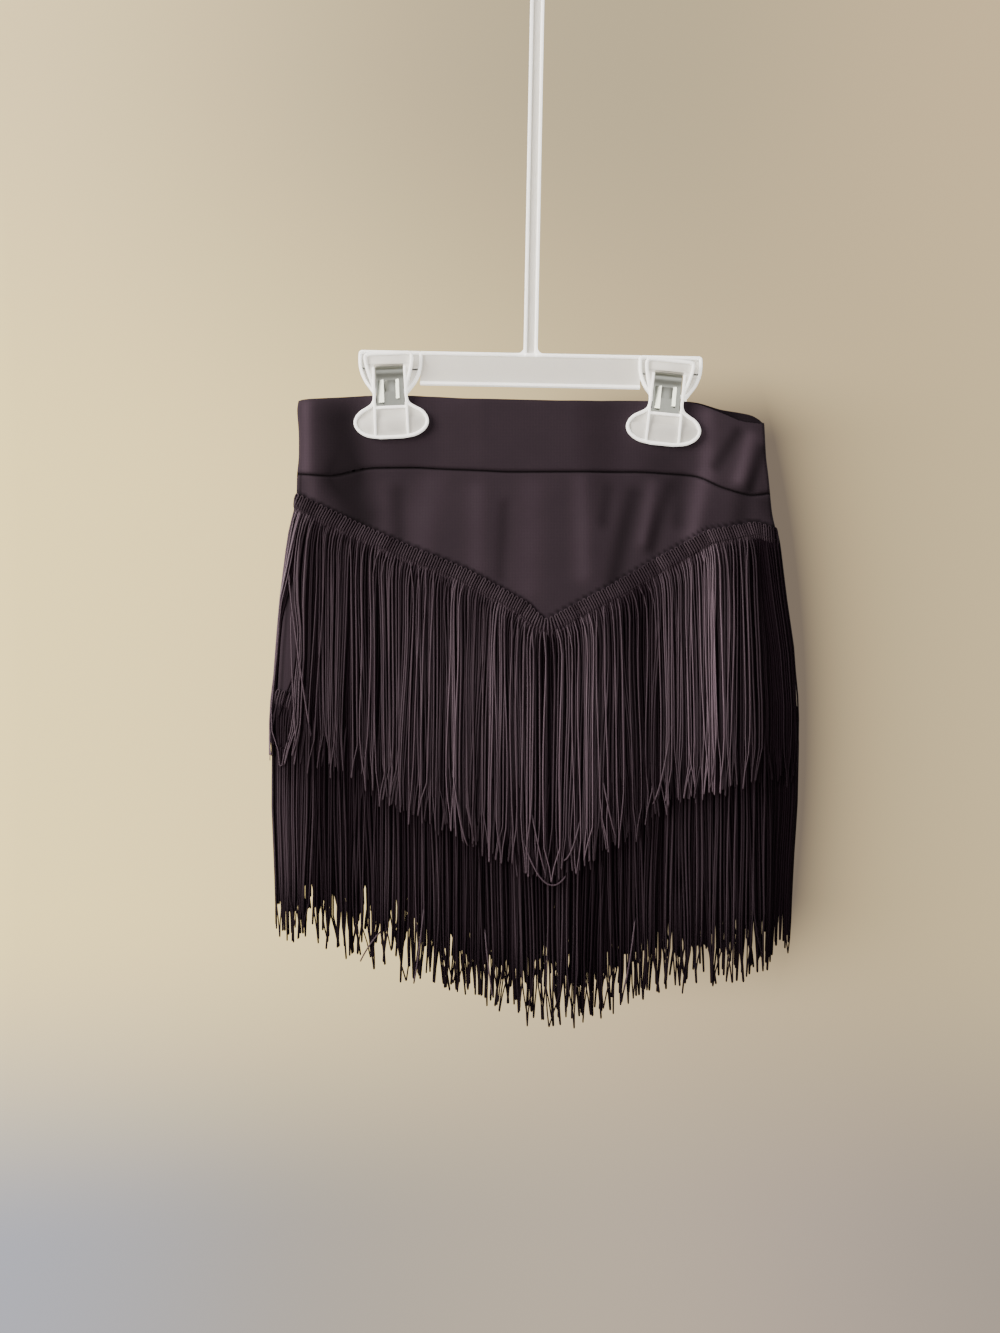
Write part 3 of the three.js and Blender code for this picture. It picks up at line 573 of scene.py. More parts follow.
def fold_height(face, x, z):
    """How far the soft folds raise or sink the cloth at a place."""
    height = np.zeros_like(x)
    for row in FOLDS[face]:
        f = dict(zip(FOLD_NAMES, (value * MM for value in row)))
        dx, dz = f["x1"] - f["x0"], f["z1"] - f["z0"]
        t = np.clip(((x - f["x0"]) * dx + (z - f["z0"]) * dz) / (dx * dx + dz * dz), 0, 1)
        away = np.hypot(x - f["x0"] - t * dx, z - f["z0"] - t * dz) / f["width"]
        height += f["height"] * np.exp(-away * away)
    return height


ROUND_SHARE = 0.013            # of the way across a wall that each rounded side takes


def side_columns(count):
    """Shares of the way across a wall, closer together round its sides."""
    turn = np.linspace(0, ROUND_SHARE, 7)
    flat = np.linspace(ROUND_SHARE, 1 - ROUND_SHARE, count)
    return np.concatenate([turn[:-1], flat, 1 - turn[::-1][1:]])


def wall_x(share, z):
    """X of a place, its share of the flat part, and how far it has turned round the side."""
    cloth = bpy.context.scene.skirt_cloth
    r = cloth.edge_radius
    s = np.clip((share - ROUND_SHARE) / (1 - 2 * ROUND_SHARE), 0, 1)
    turn = np.pi / 2 * np.clip(np.minimum(share, 1 - share) / ROUND_SHARE, 0, 1)
    way = np.where(share < 0.5, -1.0, 1.0)
    x = mix(EDGES("left", z) + r, EDGES("right", z) - r, s) + way * r * np.cos(turn)
    return x, s, turn


def wall_point(face, share, z):
    """Outer surface of a wall at a share of the way across and a height, as an array of points."""
    cloth = bpy.context.scene.skirt_cloth
    z = np.broadcast_to(z, np.broadcast(share, z).shape)
    share = np.broadcast_to(share, z.shape)
    x, s, turn = wall_x(share, z)
    across = 2 * s - 1
    hang = np.maximum(z, cloth.hem)
    swell = SWELL(face, hang) * (1 - across ** 6)
    folds = fold_height(face, x, z) * (1 - across ** 10)
    deepest, pinched = -1.2 * MM, 1.5 * MM
    free = cloth.edge_radius + np.maximum(deepest, swell + folds)
    depth = cloth.seam / 2 + mix(free, pinched, pinch(x, z)) * np.sin(turn)
    return np.stack([x, -depth if face == "front" else depth, z], -1)


def wall_outward(face, share, z):
    """Level outward direction of a wall."""
    step = 0.0015               # share to either side
    a = wall_point(face, np.clip(share - step, 0, 1), z)
    b = wall_point(face, np.clip(share + step, 0, 1), z)
    along = b - a
    sign = 1.0 if face == "front" else -1.0
    out = np.stack([along[..., 1] * sign, -along[..., 0] * sign, np.zeros_like(along[..., 0])], -1)
    return out / np.linalg.norm(out, axis=-1, keepdims=True)


def share_of_x(x, z):
    """Share of the way across a wall of a place on its flat part."""
    r = bpy.context.scene.skirt_cloth.edge_radius
    left, right = EDGES("left", z) + r, EDGES("right", z) - r
    return ROUND_SHARE + (1 - 2 * ROUND_SHARE) * (x - left) / (right - left)


LIP = np.pi * np.array([0.2, 0.4, 0.6, 0.8])       # turns of a rounded cut edge
WAIST_ENDS = (-177 * MM, 172 * MM)


def cloth_shell(face, shares, rows, upper, lower, tucks, hidden=0.0):
    """Points of a thin closed wall: outside down, round the lower lip, inside up, round the top.

    tucks says how far the cloth is drawn in at its upper and lower edge, where a seam holds it,
    and hidden how much of its upper edge lies inside the piece above.
    """
    cloth = bpy.context.scene.skirt_cloth
    # X and height depend on each other, so both are found in a few rounds from a rough X.
    x = mix(*WAIST_ENDS, shares)[None, :] * np.ones((len(rows), 1))
    for _ in range(3):
        z = mix(upper(x), lower(x), rows[:, None])
        x = wall_x(shares[None, :], z)[0]
    outer = wall_point(face, shares[None, :], z)
    normal = wall_outward(face, shares[None, :], z)
    reach = 1.5 * MM
    drawn = sum(tuck * np.exp(-((z - edge(x)) / reach) ** 2)
                for tuck, edge in zip(tucks, (upper, lower)))
    if hidden:
        under, further = 1.7 * MM, 1.0 * MM
        over = z - (upper(x) - hidden)
        drawn = drawn + np.where(over < 0, under * np.exp(-(over / reach) ** 2),
                                 under + further * smooth(over / (0.8 * MM)))
    room = np.maximum(0, np.abs(outer[..., 1]) - cloth.wall - 0.2 * MM)
    outer = outer - normal * np.minimum(drawn, room)[..., None]
    inner = outer - normal * cloth.wall
    down = np.gradient(outer, axis=0)
    down /= np.linalg.norm(down, axis=-1, keepdims=True)
    middle = (outer + inner) / 2
    lips = {}
    for end, way in ((-1, 1), (0, -1)):
        lips[end] = np.array([middle[end] + way * cloth.wall / 2
                              * (normal[end] * math.cos(a) + down[end] * math.sin(a) * 0.7)
                              for a in LIP])
    return np.concatenate([outer, lips[-1], inner[::-1], lips[0]])


def crease_shade(face, points):
    """How much paler (up to 1) or darker (to -3) each point is painted: ridges paler, as light;
    hollows, the inside and a line just above the upper header darker, as shade; seams darker.
    """
    x, z = points[..., 0], points[..., 2]
    shade = np.clip(fold_height(face, x, z) / (2.6 * MM), -1.6, 1)
    seam = (z - WAIST_SEAM(face, x)) / (0.65 * MM)
    side_seam = (x - EDGES("left", z) - 3.2 * MM) / (0.9 * MM)
    painted_trim_shadow = (z - HEADERS["upper"]("z", x) - 1.3 * MM) / (1.0 * MM)
    shade -= 3.0 * np.exp(-seam ** 2)
    shade -= 0.8 * np.exp(-side_seam ** 2) * (z < -0.4165)
    # A painted shadow line just above the upper fringe's header.
    shade -= 1.6 * np.exp(-painted_trim_shadow ** 2)
    rows = len(points) // 2 - len(LIP)
    inside = rows + len(LIP)
    # Painted shade on the inside faces of the shell.
    shade[inside:inside + rows] -= 1.7
    return np.clip(shade, -3, 1)


def shell_mesh(points, face):
    """Points and faces of a closed wall, with its two narrow ends filled."""
    rows, columns = points.shape[:2]
    faces = wrapped_faces(rows, columns)
    first = [r * columns for r in range(rows)]
    faces += [first, [v + columns - 1 for v in first][::-1]]
    if face == "back":
        faces = [f[::-1] for f in faces]
    return points.reshape(-1, 3), faces


# ------------------------------------------------------------------ form of the fringe

def tubes(paths, radius, sides):
    """Round strands along many paths of equally many points, with their ends closed."""
    count, steps = paths.shape[:2]
    along = np.gradient(paths, axis=1)
    along /= np.linalg.norm(along, axis=-1, keepdims=True) + 1e-12
    across = np.cross(along, np.array([0.0, 1.0, 0.0]))
    across /= np.linalg.norm(across, axis=-1, keepdims=True) + 1e-12
    deep = np.cross(along, across)
    angle = np.arange(sides) * 2 * np.pi / sides
    ring = (across[:, :, None] * np.cos(angle)[None, None, :, None]
            + deep[:, :, None] * np.sin(angle)[None, None, :, None])
    points = paths[:, :, None] + ring * radius[:, :, None, None]
    first = np.arange(count)[:, None, None] * steps * sides + np.arange(steps - 1)[:, None] * sides
    here = np.arange(sides)
    beside = (here + 1) % sides
    quads = np.stack([first + here, first + beside, first + sides + beside, first + sides + here], -1)
    faces = quads.reshape(-1, 4).tolist()
    for start in np.arange(count) * steps * sides:
        end = start + (steps - 1) * sides
        faces += [list(range(start, start + sides))[::-1], list(range(end, end + sides))]
    return points.reshape(-1, 3), faces


def lengths_along(paths):
    step = np.linalg.norm(np.diff(paths, axis=1), axis=-1)
    return np.concatenate([np.zeros((len(paths), 1)), np.cumsum(step, axis=1)], axis=1)


ACROSS = 372 * MM               # width of a wall on the whole, for turning lengths into shares


def header_places(face, row, pitch):
    """Places along the top edge of a header, in pairs: share across, height, and slope."""
    share = np.linspace(0.004, 0.996, 1600)
    z = np.full_like(share, -0.5)
    for _ in range(4):
        z = HEADERS[row]("z", wall_x(share, z)[0])
    line = wall_point(face, share, z)
    run = np.concatenate([[0], np.cumsum(np.linalg.norm(np.diff(line, axis=0), axis=1))])
    count = 2 * int(run[-1] / pitch / 2)
    at = (np.arange(count) + 0.5) * run[-1] / count
    reach = 60
    window = np.hanning(2 * reach + 3)[1:-1]
    slope = np.convolve(np.pad(np.gradient(z, run), reach, mode="edge"), window, mode="valid")
    slope /= window.sum()
    return [np.interp(at, run, values).reshape(-1, 2) for values in (share, z, slope)]


def off_wall(face, share, z, off):
    """Points that stand off a wall; below the hem they follow it straight down."""
    share = np.clip(share, 0.0004, 0.9996)
    return wall_point(face, share, z) + wall_outward(face, share, z) * off[..., None]


def parted(face, row, share, z):
    """The share across of a strand, moved aside where its row parts."""
    x = wall_x(share, z)[0]
    for values in PARTINGS[face, row]:
        p = dict(zip(PART_NAMES, (value * MM for value in values)))
        aside = np.sign(share[:, :, :1] - share_of_x(p["x"], p["z"])) * p["spread"]
        near = np.exp(-((x - p["x"]) / p["across"]) ** 2 - ((z - p["z"]) / p["down"]) ** 2)
        share = share + aside * near / ACROSS
    return share


def joined_pairs(legs, loop):
    """Turns two legs of each pair into one path, down one, round a small loop and up the other."""
    a, b = legs[:, 0], legs[:, 1]
    low = (a[:, -1] + b[:, -1]) / 2
    low[:, 2] -= loop
    corners = [mix(low, leg[:, -1], 0.62) for leg in (a, b)]
    for corner in corners:
        corner[:, 2] = low[:, 2] + loop * 0.3
    turn = np.stack([corners[0], low, corners[1]], 1)
    return np.concatenate([a, turn, b[:, ::-1]], axis=1)


def zones(face, row, rng):
    """How groups of strands stand out or sink, as an uneven line across the skirt. It also sets their
    painted light and shade.
    """
    x = np.linspace(-0.21, 0.21, 421)
    places, levels = zip(*STAND[row])
    line = np.interp((x if face == "front" else -x) / MM, places, levels)
    waves = ((0.25, 31 * MM), (0.22, 19 * MM), (0.18, 11.5 * MM))
    line += sum(size * np.sin(2 * np.pi * x / wave + rng.uniform(0, TURN)) for size, wave in waves)
    return lambda where: np.interp(where, x, line)


def tall(values):
    """One value for each pair of strands, shaped to meet arrays of pairs, legs and steps."""
    return values[:, None, None]


TURN = 6.3                      # a full turn, for phases drawn at random
LEGS = np.array([-1.0, 1.0])[None, :, None]
ON_HEADER = np.array([0.45, 0.8, 1.0])             # points of a strand on its header, share down
MIDWAY = -620 * MM              # height at which the place of a strand across the row is read
DARK_SIDE = 162 * MM            # past this the strands lie close to the cloth and are painted dark, as shade


class StrandLayer:
    """One layer of a row. Each yarn runs down, round a small loop at its tip and up again.

    Yarns that hang together form a clump. They share their sway, their depth and their tone.
    """

    def __init__(self, face, row, layer, zone, rng):
        self.face, self.row, self.layer, self.rng = face, row, layer, rng
        self.share, self.top, slope = header_places(face, row, layer["pitch"] * MM)
        self.pairs = len(self.share)
        self.middle = self.share.mean(1)
        self.cos = 1 / np.sqrt(1 + slope ** 2)
        self.sin = slope * self.cos
        self.x = wall_x(self.middle, np.full(self.pairs, MIDWAY))[0]
        self.level = zone(self.x)
        self.rise = bpy.context.scene.skirt_fringe.back_rise if face == "back" else 0.0
        self.loose = min(1.0, layer["grip"] * 1.6)
        self.free = smooth((0.97 - np.abs(2 * self.middle - 1)) / 0.12)
        self.at_side = smooth((self.x - DARK_SIDE) / (12 * MM))
        self.draw_clumps()

    def draw_clumps(self):
        """Which yarns hang together, and what those of a clump share."""
        layer, rng = self.layer, self.rng
        clump = np.cumsum(rng.random(self.pairs) < np.clip(layer["pitch"] / 5.5, 0.4, 1))
        sizes = np.maximum(np.bincount(clump), 1)
        many = len(sizes)
        self.gathered = (np.bincount(clump, self.middle) / sizes)[clump]
        self.grip = layer["grip"] * rng.uniform(0.05, 0.8, many)[clump]
        self.shift = rng.normal(0, 1.5, many)[clump] * MM * self.loose
        self.deep = rng.uniform(0, 1, many)[clump] * layer["spread"] * MM
        self.phase = rng.uniform(0, TURN, many)[clump]
        self.bright = rng.uniform(-0.2, 0.2, many)[clump] * self.loose
        self.uneven = rng.normal(0, 0.5, many)[clump]

    def tips(self):
        """Height at which each yarn turns; a few hang lower, more of them end early."""
        layer, rng = self.layer, self.rng
        uneven = (self.uneven + rng.normal(0, 0.6, self.pairs)) * layer["uneven"]
        hangs_low = rng.random(self.pairs) < 0.06
        uneven += hangs_low * rng.uniform(-8, -3, self.pairs)
        most = mix(18, 4, layer["grip"] / 0.6)
        short = layer["short"] + most * rng.uniform(0, 1, self.pairs) ** 2
        if self.row == "upper":
            short *= 0.35
            uneven *= 0.8
        return TIPS[self.row]("z", self.x) + self.rise + (uneven + short + 2) * MM

    def fall(self):
        """Run down from 0 to 1, shift along the slanted header, height, and where it leaves it."""
        fringe = bpy.context.scene.skirt_fringe
        t = 0.5 - 0.5 * np.cos(np.pi * np.linspace(0, 1, fringe.steps)[1:] * 0.86)
        t = t / t[-1]
        along = (self.sin * fringe.header)[..., None]
        drop = (self.cos * fringe.header)[..., None]
        top = self.top[..., None]
        down = (top - drop - tall(self.tips())) * t
        tangent = (self.sin / self.cos)[..., None]
        bent = along + tangent * fringe.bend * (1 - np.exp(-down / fringe.bend))
        u = np.concatenate([np.zeros(len(ON_HEADER)), t])
        dx = np.concatenate([along * ON_HEADER, bent], -1) * min(1.0, 3 * self.loose)
        z = np.concatenate([top - drop * ON_HEADER, top - drop - down], -1)
        return u, dx, z, top - drop

    def sway(self, u):
        """How far each yarn wanders across on its way down."""
        rng = self.rng
        own = rng.normal(0, 1.1, self.pairs) * MM * self.loose
        hook = rng.normal(0, 1.8, self.pairs) * MM
        own_phase = rng.uniform(0, TURN, self.pairs)
        wave = 0.8 * MM * self.loose * np.sin(4.2 * u + tall(self.phase)) * smooth(u / 0.3)
        ripple = 0.3 * MM * np.sin(9 * u + tall(own_phase)) * smooth(u / 0.2)
        drift = tall(self.shift + own) * smooth(u)
        end = tall(hook) * smooth((u - 0.86) / 0.14)
        return (wave + ripple + drift + end) * tall(self.free)

    def across(self, u, dx, z, out_z):
        """Share across the wall of each point: two legs that gather in clumps and meet at the tip."""
        layer, rng, loose = self.layer, self.rng, self.loose
        gap = rng.uniform(0.2, 1.0, self.pairs) * layer["radius"] * MM / ACROSS
        close_from = tall(mix(0.88, rng.uniform(0.7, 0.93, self.pairs), loose))
        closing = smooth((u - close_from) / (0.99 - close_from))
        jitter = rng.normal(0, 0.3 * layer["pitch"] * loose, self.pairs) * MM / ACROSS
        centre = tall(self.middle) + tall(jitter) * smooth(u * 12)
        skew = tall(mix(1, rng.uniform(0.55, 1.4, self.pairs), loose))
        half = tall(self.share[:, 1] - self.share[:, 0]) / 2 * mix(1, skew, smooth(u * 6))
        here = centre + LEGS * mix(half, tall(gap) / 2, closing)
        here = here + (tall(self.gathered) - centre) * tall(self.grip) * smooth(u / 0.9)
        leaving = here[..., 2:3]
        plumb = share_of_x(wall_x(leaving, z[..., 2:3])[0], z) - leaving
        inner = smooth((0.93 - np.abs(2 * centre - 1)) / 0.12) * loose
        here = here + plumb * inner * (z < out_z)
        dx = mix(dx, dx.mean(1, keepdims=True), closing)
        return parted(self.face, self.row, here + dx / ACROSS, z)

    def stand_off(self, u, z):
        """How far each point stands off the cloth."""
        rng = self.rng
        settle = smooth((self.top[..., None] - z - 6 * MM) / (18 * MM))
        close, flat = 0.9 * MM, 0.8 * MM
        stand = self.layer["off"] * MM + tall(self.deep + 0.7 * MM * self.loose * self.level)
        stand = mix(stand, flat + 0.3 * (stand - flat),
                    tall(np.maximum(self.at_side, 0.8 * (1 - self.free))))
        off = mix(close, stand, settle) + tall(rng.normal(0, 0.2, self.pairs)) * MM * settle
        if self.row == "upper":
            over = smooth((-555 * MM - z) / (45 * MM))
            off = off + bpy.context.scene.skirt_fringe.over_lower * over
        flick = tall(np.abs(rng.normal(0, 0.7, self.pairs))) * MM
        return off + flick * smooth((u - 0.8) / 0.2)

    def looks(self, u, paths):
        """Radius and tone of every point; the tone is painted light and shade. Strands past the right
        side are painted darker, and the upper row near its header; the lower row is painted darker
        all over, darkest in a painted shadow right under the upper row, and darker toward its tips.
        """
        layer, rng = self.layer, self.rng
        run = np.concatenate([u, [1, 1, 1], u[::-1]])
        radius = layer["radius"] * MM * rng.uniform(0.86, 1.14, self.pairs)
        tones = layer["tone"] * np.exp(0.85 * self.level) * rng.uniform(0.5, 1.5, self.pairs)
        tones = np.clip(tones + 0.4 * self.bright, 0.0, 1.0) * mix(1, 0.12, self.at_side)
        if self.row == "upper":
            full, taper = 1.0, 0.3
            shade = 0.72 + 0.38 * smooth(run / 0.35)
        else:
            full, taper = 1.15, 0.2
            under = np.maximum(0, TIPS["upper"]("z", paths[..., 0]) + self.rise - paths[..., 2])
            shade = 0.26 * (1 - 0.85 * smooth((run - 0.66) / 0.28))
            shade = shade * (1 - 0.7 * np.exp(-under / (13 * MM)))
        radii = radius[:, None] * full * (1 - taper * smooth((run - 0.5) / 0.5))
        return radii, tones[:, None] * shade

    def strands(self):
        """Paths, radii and tones of the layer."""
        u, dx, z, out_z = self.fall()
        here = self.across(u, dx + self.sway(u), z, out_z)
        paths = joined_pairs(off_wall(self.face, here, z, self.stand_off(u, z)), 0.8 * MM)
        return paths, *self.looks(u, paths)


# Down one cord of the header and back up the next: lift off the cloth, share of the depth, and
# thickness from foot to loop.
CORD_LIFT = np.array([0.3, 1.2, 1.6, 1.5, 1.2]) * MM
CORD_DOWN = np.array([1.5, 1.15, 0.8, 0.3, 0.04])
CORD_THICKNESS = np.array([0.7, 0.84, 0.98, 1, 0.86, 0.72, 0.64])


def header_cords(face, row, zone, rng):
    """The cords of the header, side by side across it, joined in small loops over its top edge.

    Their feet dive in among the strands, so that each cord seems to run on into the fall.
    """
    fringe = bpy.context.scene.skirt_fringe
    share, top, slope = header_places(face, row, fringe.ridge_pitch)
    cos = 1 / np.sqrt(1 + slope ** 2)
    sin = slope * cos
    down = CORD_DOWN * fringe.header
    z = top[..., None] - cos[..., None] * down
    here = share[..., None] + sin[..., None] * np.minimum(down, fringe.header) / ACROSS
    lift = CORD_LIFT + rng.normal(0, 0.08, share.shape)[..., None] * MM
    legs = off_wall(face, here, z, lift)
    rise = fringe.loop_rise * rng.uniform(0.7, 1.15, len(share))
    peak = legs[:, :, -1].mean(1)
    peak[:, 0] -= sin.mean(1) * rise
    peak[:, 2] += cos.mean(1) * rise
    near = mix(peak[:, None], legs[:, :, -1], 0.55)
    near[:, :, 2] += (rise * 0.45)[:, None]
    paths = np.concatenate([legs[:, 0], near[:, :1], peak[:, None], near[:, 1:], legs[:, 1, ::-1]], 1)
    thickness = np.concatenate([CORD_THICKNESS, CORD_THICKNESS[-2::-1]])
    radii = np.ones((len(paths), 1)) * fringe.ridge_radius * thickness
    x = wall_x(share.mean(1), top.mean(1))[0]
    # Painted light and shade: the cords are paler or darker with the stand of the row (the lower row's
    # only darker), and darker past the right side.
    level = zone(x) if row == "upper" else np.minimum(zone(x), 0)
    tones = 0.24 * np.exp(0.4 * level) + rng.normal(0, 0.03, len(paths))
    tones *= mix(1, 0.3, smooth((x - 166 * MM) / (8 * MM)))
    return paths, radii, tones[:, None] * np.ones(paths.shape[1])


def header_stitches(face, row):
    """The line of thread along the foot of the header."""
    fringe = bpy.context.scene.skirt_fringe
    share, top, slope = (a.reshape(-1) for a in header_places(face, row, fringe.ridge_pitch))
    foot = 0.86 * fringe.header
    lift = np.full_like(share, 1.6 * MM + fringe.ridge_radius * 0.9)
    paths = off_wall(face, share + slope * foot / ACROSS, top - foot, lift)[None]
    even = np.ones(paths.shape[:2])
    return paths, even * 0.16 * MM, even * 0.16


def stray_paths(face):
    """Loose strands that bow down in front of the rest."""
    t = np.linspace(0, 1, 22)
    paths = []
    for values in STRAYS[face]:
        p = dict(zip(STRAY_NAMES, (value * MM for value in values)))
        x = mix(p["x0"], p["x1"], t)
        z = mix(p["z0"], p["z1"], t) - p["sag"] * 4 * t * (1 - t)
        off = 1.2 * MM + (p["out"] + 2.5 * MM) * np.sin(np.pi * t) ** 0.35
        paths.append(off_wall(face, share_of_x(x, z), z, off))
    even = np.ones((len(paths), len(t)))
    return np.array(paths), even * 0.6 * MM, even * 0.5


def header_tape(face, row):
    """The narrow tape under the cords of a row, a closed strip just off the body."""
    share, top, _ = header_places(face, row, 2.4 * MM)
    share, top = share.reshape(-1), top.reshape(-1)
    points = np.array([off_wall(face, share, top - down * MM, np.full_like(share, off * MM))
                       for off, down in ((0.3, 0.6), (0.85, 0.6), (0.85, 9.2), (0.3, 9.2))])
    columns = points.shape[1]
    faces = wrapped_faces(4, columns)
    first = [r * columns for r in range(4)]
    faces += [first, [v + columns - 1 for v in first][::-1]]
    return points.reshape(-1, 3), faces


def add_row(face, row, material, rng):
    """One row of fringe with its header, as one piece."""
    groups = []
    zone = zones(face, row, rng)
    for values in LAYERS:
        layer = dict(zip(LAYER_NAMES, values))
        groups.append((StrandLayer(face, row, layer, zone, rng).strands(), layer["sides"]))
    groups.append((header_cords(face, row, zone, rng), 6))
    groups.append((header_stitches(face, row), 4))
    if row == "upper":
        groups.append((stray_paths(face), 5))
    points, faces, run, tone_and_painted_light, start = [], [], [], [], 0
    for (paths, radii, tones), sides in groups:
        made, quads = tubes(paths, radii, sides)
        points.append(made)
        faces += [[v + start for v in f] for f in quads]
        run.append(np.repeat(lengths_along(paths).reshape(-1), sides))
        tone_and_painted_light.append(np.repeat(tones.reshape(-1), sides))
        start += len(made)
    tape, tape_faces = header_tape(face, row)
    faces += [[v + start for v in f] for f in tape_faces]
    points.append(tape)
    run.append(np.zeros(len(tape)))
    tone_and_painted_light.append(np.full(len(tape), 0.05))
    piece = new_piece(f"chainette_{row}_{face}", np.concatenate(points), faces, [material],
                      f"fringe_{row}_{face}", "fringe")
    point_values(piece, "run", np.concatenate(run))
    # The per-point tone holds painted light and shade besides random tone.
    point_values(piece, "tone_and_painted_light", np.maximum(np.concatenate(tone_and_painted_light), 0))
    return piece


# ------------------------------------------------------------------ form of the hanger

def spline(half, steps):
    """A smooth run through the points of a half outline."""
    points = np.array(half, float)
    padded = np.concatenate([[2 * points[0] - points[1]], points, [2 * points[-1] - points[-2]]])
    run = []
    for i in range(1, len(points)):
        p0, p1, p2, p3 = padded[i - 1:i + 3]
        for t in np.linspace(0, 1, steps, endpoint=False):
            run.append(0.5 * (2 * p1 + (p2 - p0) * t + (2 * p0 - 5 * p1 + 4 * p2 - p3) * t * t
                              + (3 * p1 - p0 - 3 * p2 + p3) * t ** 3))
    run.append(points[-1])
    return np.array(run)


def mirrored(half, steps):
    """A whole outline in X and Z, right half down and left half up, in metres."""
    right = spline(half, steps) * MM
    left = right[::-1] * np.array([-1, 1])
    return np.concatenate([right, left])


def inset(outline, by):
    """The outline moved in by a distance."""
    before = outline - np.roll(outline, 1, axis=0)
    after = np.roll(outline, -1, axis=0) - outline
    side = [np.stack([d[:, 1], -d[:, 0]], -1) / np.linalg.norm(d, axis=1)[:, None]
            for d in (before, after)]
    reach = by / (1 + (side[0] * side[1]).sum(1))
    return outline + reach[:, None] * (side[0] + side[1])


# The rims' white also shines as painted light; the two greyer whites are painted shade.
RIM, WEB, FACE = 0, 1, 2        # which of the hanger's three whites a face has
SOFT_EDGE = [(0.0, 1.0), (0.35, 0.35), (1.0, 0.0)]      # depth and inset of a softened edge


class Moulding:
    """Closed shells of one moulding, gathered ring by ring."""

    def __init__(self):
        self.points, self.faces, self.whites, self.count = [], [], [], 0

    def levels(self, rings, white=RIM, closed=True):
        """A shell through rings of equally many points. A list of whites goes round each ring."""
        rings = np.array(rings, float)
        rows, n = rings.shape[:2]
        round_ring = white if isinstance(white, list) else [white] * n
        for a in range(0, (rows - 1) * n, n):
            self.faces += [[self.count + v for v in (a + i, a + j, a + n + j, a + n + i)]
                           for i, j in zip(range(n), [*range(1, n), 0])]
        self.whites += round_ring * (rows - 1)
        if closed:
            last = self.count + (rows - 1) * n
            self.faces += [list(range(self.count, self.count + n))[::-1], list(range(last, last + n))]
            self.whites += [RIM if isinstance(white, list) else white] * 2
        self.points.append(rings.reshape(-1, 3))
        self.count += rows * n

    def plate(self, outline, front, back, round_by, white=RIM):
        """A plate in X and Z with softened edges."""
        stations = [(front + out * round_by, by * round_by) for out, by in SOFT_EDGE]
        stations += [(back - out * round_by, by * round_by) for out, by in SOFT_EDGE[::-1]]
        self.levels([[(x, y, z) for x, z in inset(outline, by)] for y, by in stations], white)

    def bar(self, x0, x1, front, back, z0, z1, round_by):
        corners = [(x0, z1), (x1, z1), (x1, z0), (x0, z0)]
        self.plate(np.array(corners), front, back, round_by)

    def rim(self, outline, width, front, back):
        """A rounded rim that follows an outline inside; front is its raised side."""
        way = 1 if back > front else -1
        shoulder, crown = front + way * 0.45 * MM, front + way * 0.12 * MM
        profile = [(0, back), (0, shoulder), (0.12, crown), (0.32, front), (0.68, front),
                   (0.88, crown), (1, shoulder), (1, back)]
        rings = [[(x, y, z) for x, z in inset(outline, by * width)] for by, y in profile]
        self.levels(rings + rings[:1], closed=False)

    def sweep(self, section, middle, across):
        """A rail with a section of (across, depth) along a line in X and Z."""
        web = min(abs(depth) for _, depth in section) + 0.01 * MM
        beside = section[1:] + section[:1]
        whites = [WEB if abs(one[1]) < web and abs(two[1]) < web else RIM
                  for one, two in zip(section, beside)]
        self.levels([[(p[0] + a[0] * wide, depth, p[1] + a[1] * wide) for wide, depth in section]
                     for p, a in zip(middle, across)], whites)

    def move(self, change):
        self.points = [change(p) for p in self.points]

    def take(self, other):
        self.points += other.points
        self.faces += [[v + self.count for v in f] for f in other.faces]
        self.whites += other.whites
        self.count += other.count

    def make(self, name, materials, node, slot):
        piece = new_piece(name, np.concatenate(self.points), self.faces, materials, node, slot)
        if len(materials) > 1:
            piece.data.polygons.foreach_set("material_index", self.whites)
        body = bmesh.new()
        body.from_mesh(piece.data)
        bmesh.ops.recalc_face_normals(body, faces=body.faces)
        body.to_mesh(piece.data)
        body.free()
        piece.data.set_sharp_from_angle(angle=math.radians(42))


def turned(points, angle, pivot=(0.0, 0.0)):
    """Points turned about the depth axis through a pivot in X and Z, clockwise from the front."""
    c, s = math.cos(angle), math.sin(angle)
    x, z = points[:, 0] - pivot[0], points[:, 2] - pivot[1]
    return np.stack([x * c + z * s + pivot[0], points[:, 1], -x * s + z * c + pivot[1]], -1)


def on_clip(side):
    """Where a lever's or spring's own points go on the hanger."""
    hanger = bpy.context.scene.skirt_hanger

    def change(points):
        moved = points + np.array([side * hanger.clip_offset, 0, 0])
        turn = hanger.toe_in if side > 0 else -hanger.toe_in_left
        moved = turned(moved, turn, (side * hanger.clip_offset, hanger.pivot_z))
        if side > 0:
            moved = moved - np.array([hanger.slip_in, 0, hanger.slip_down])
        return turned(moved, hanger.tilt)

    return change


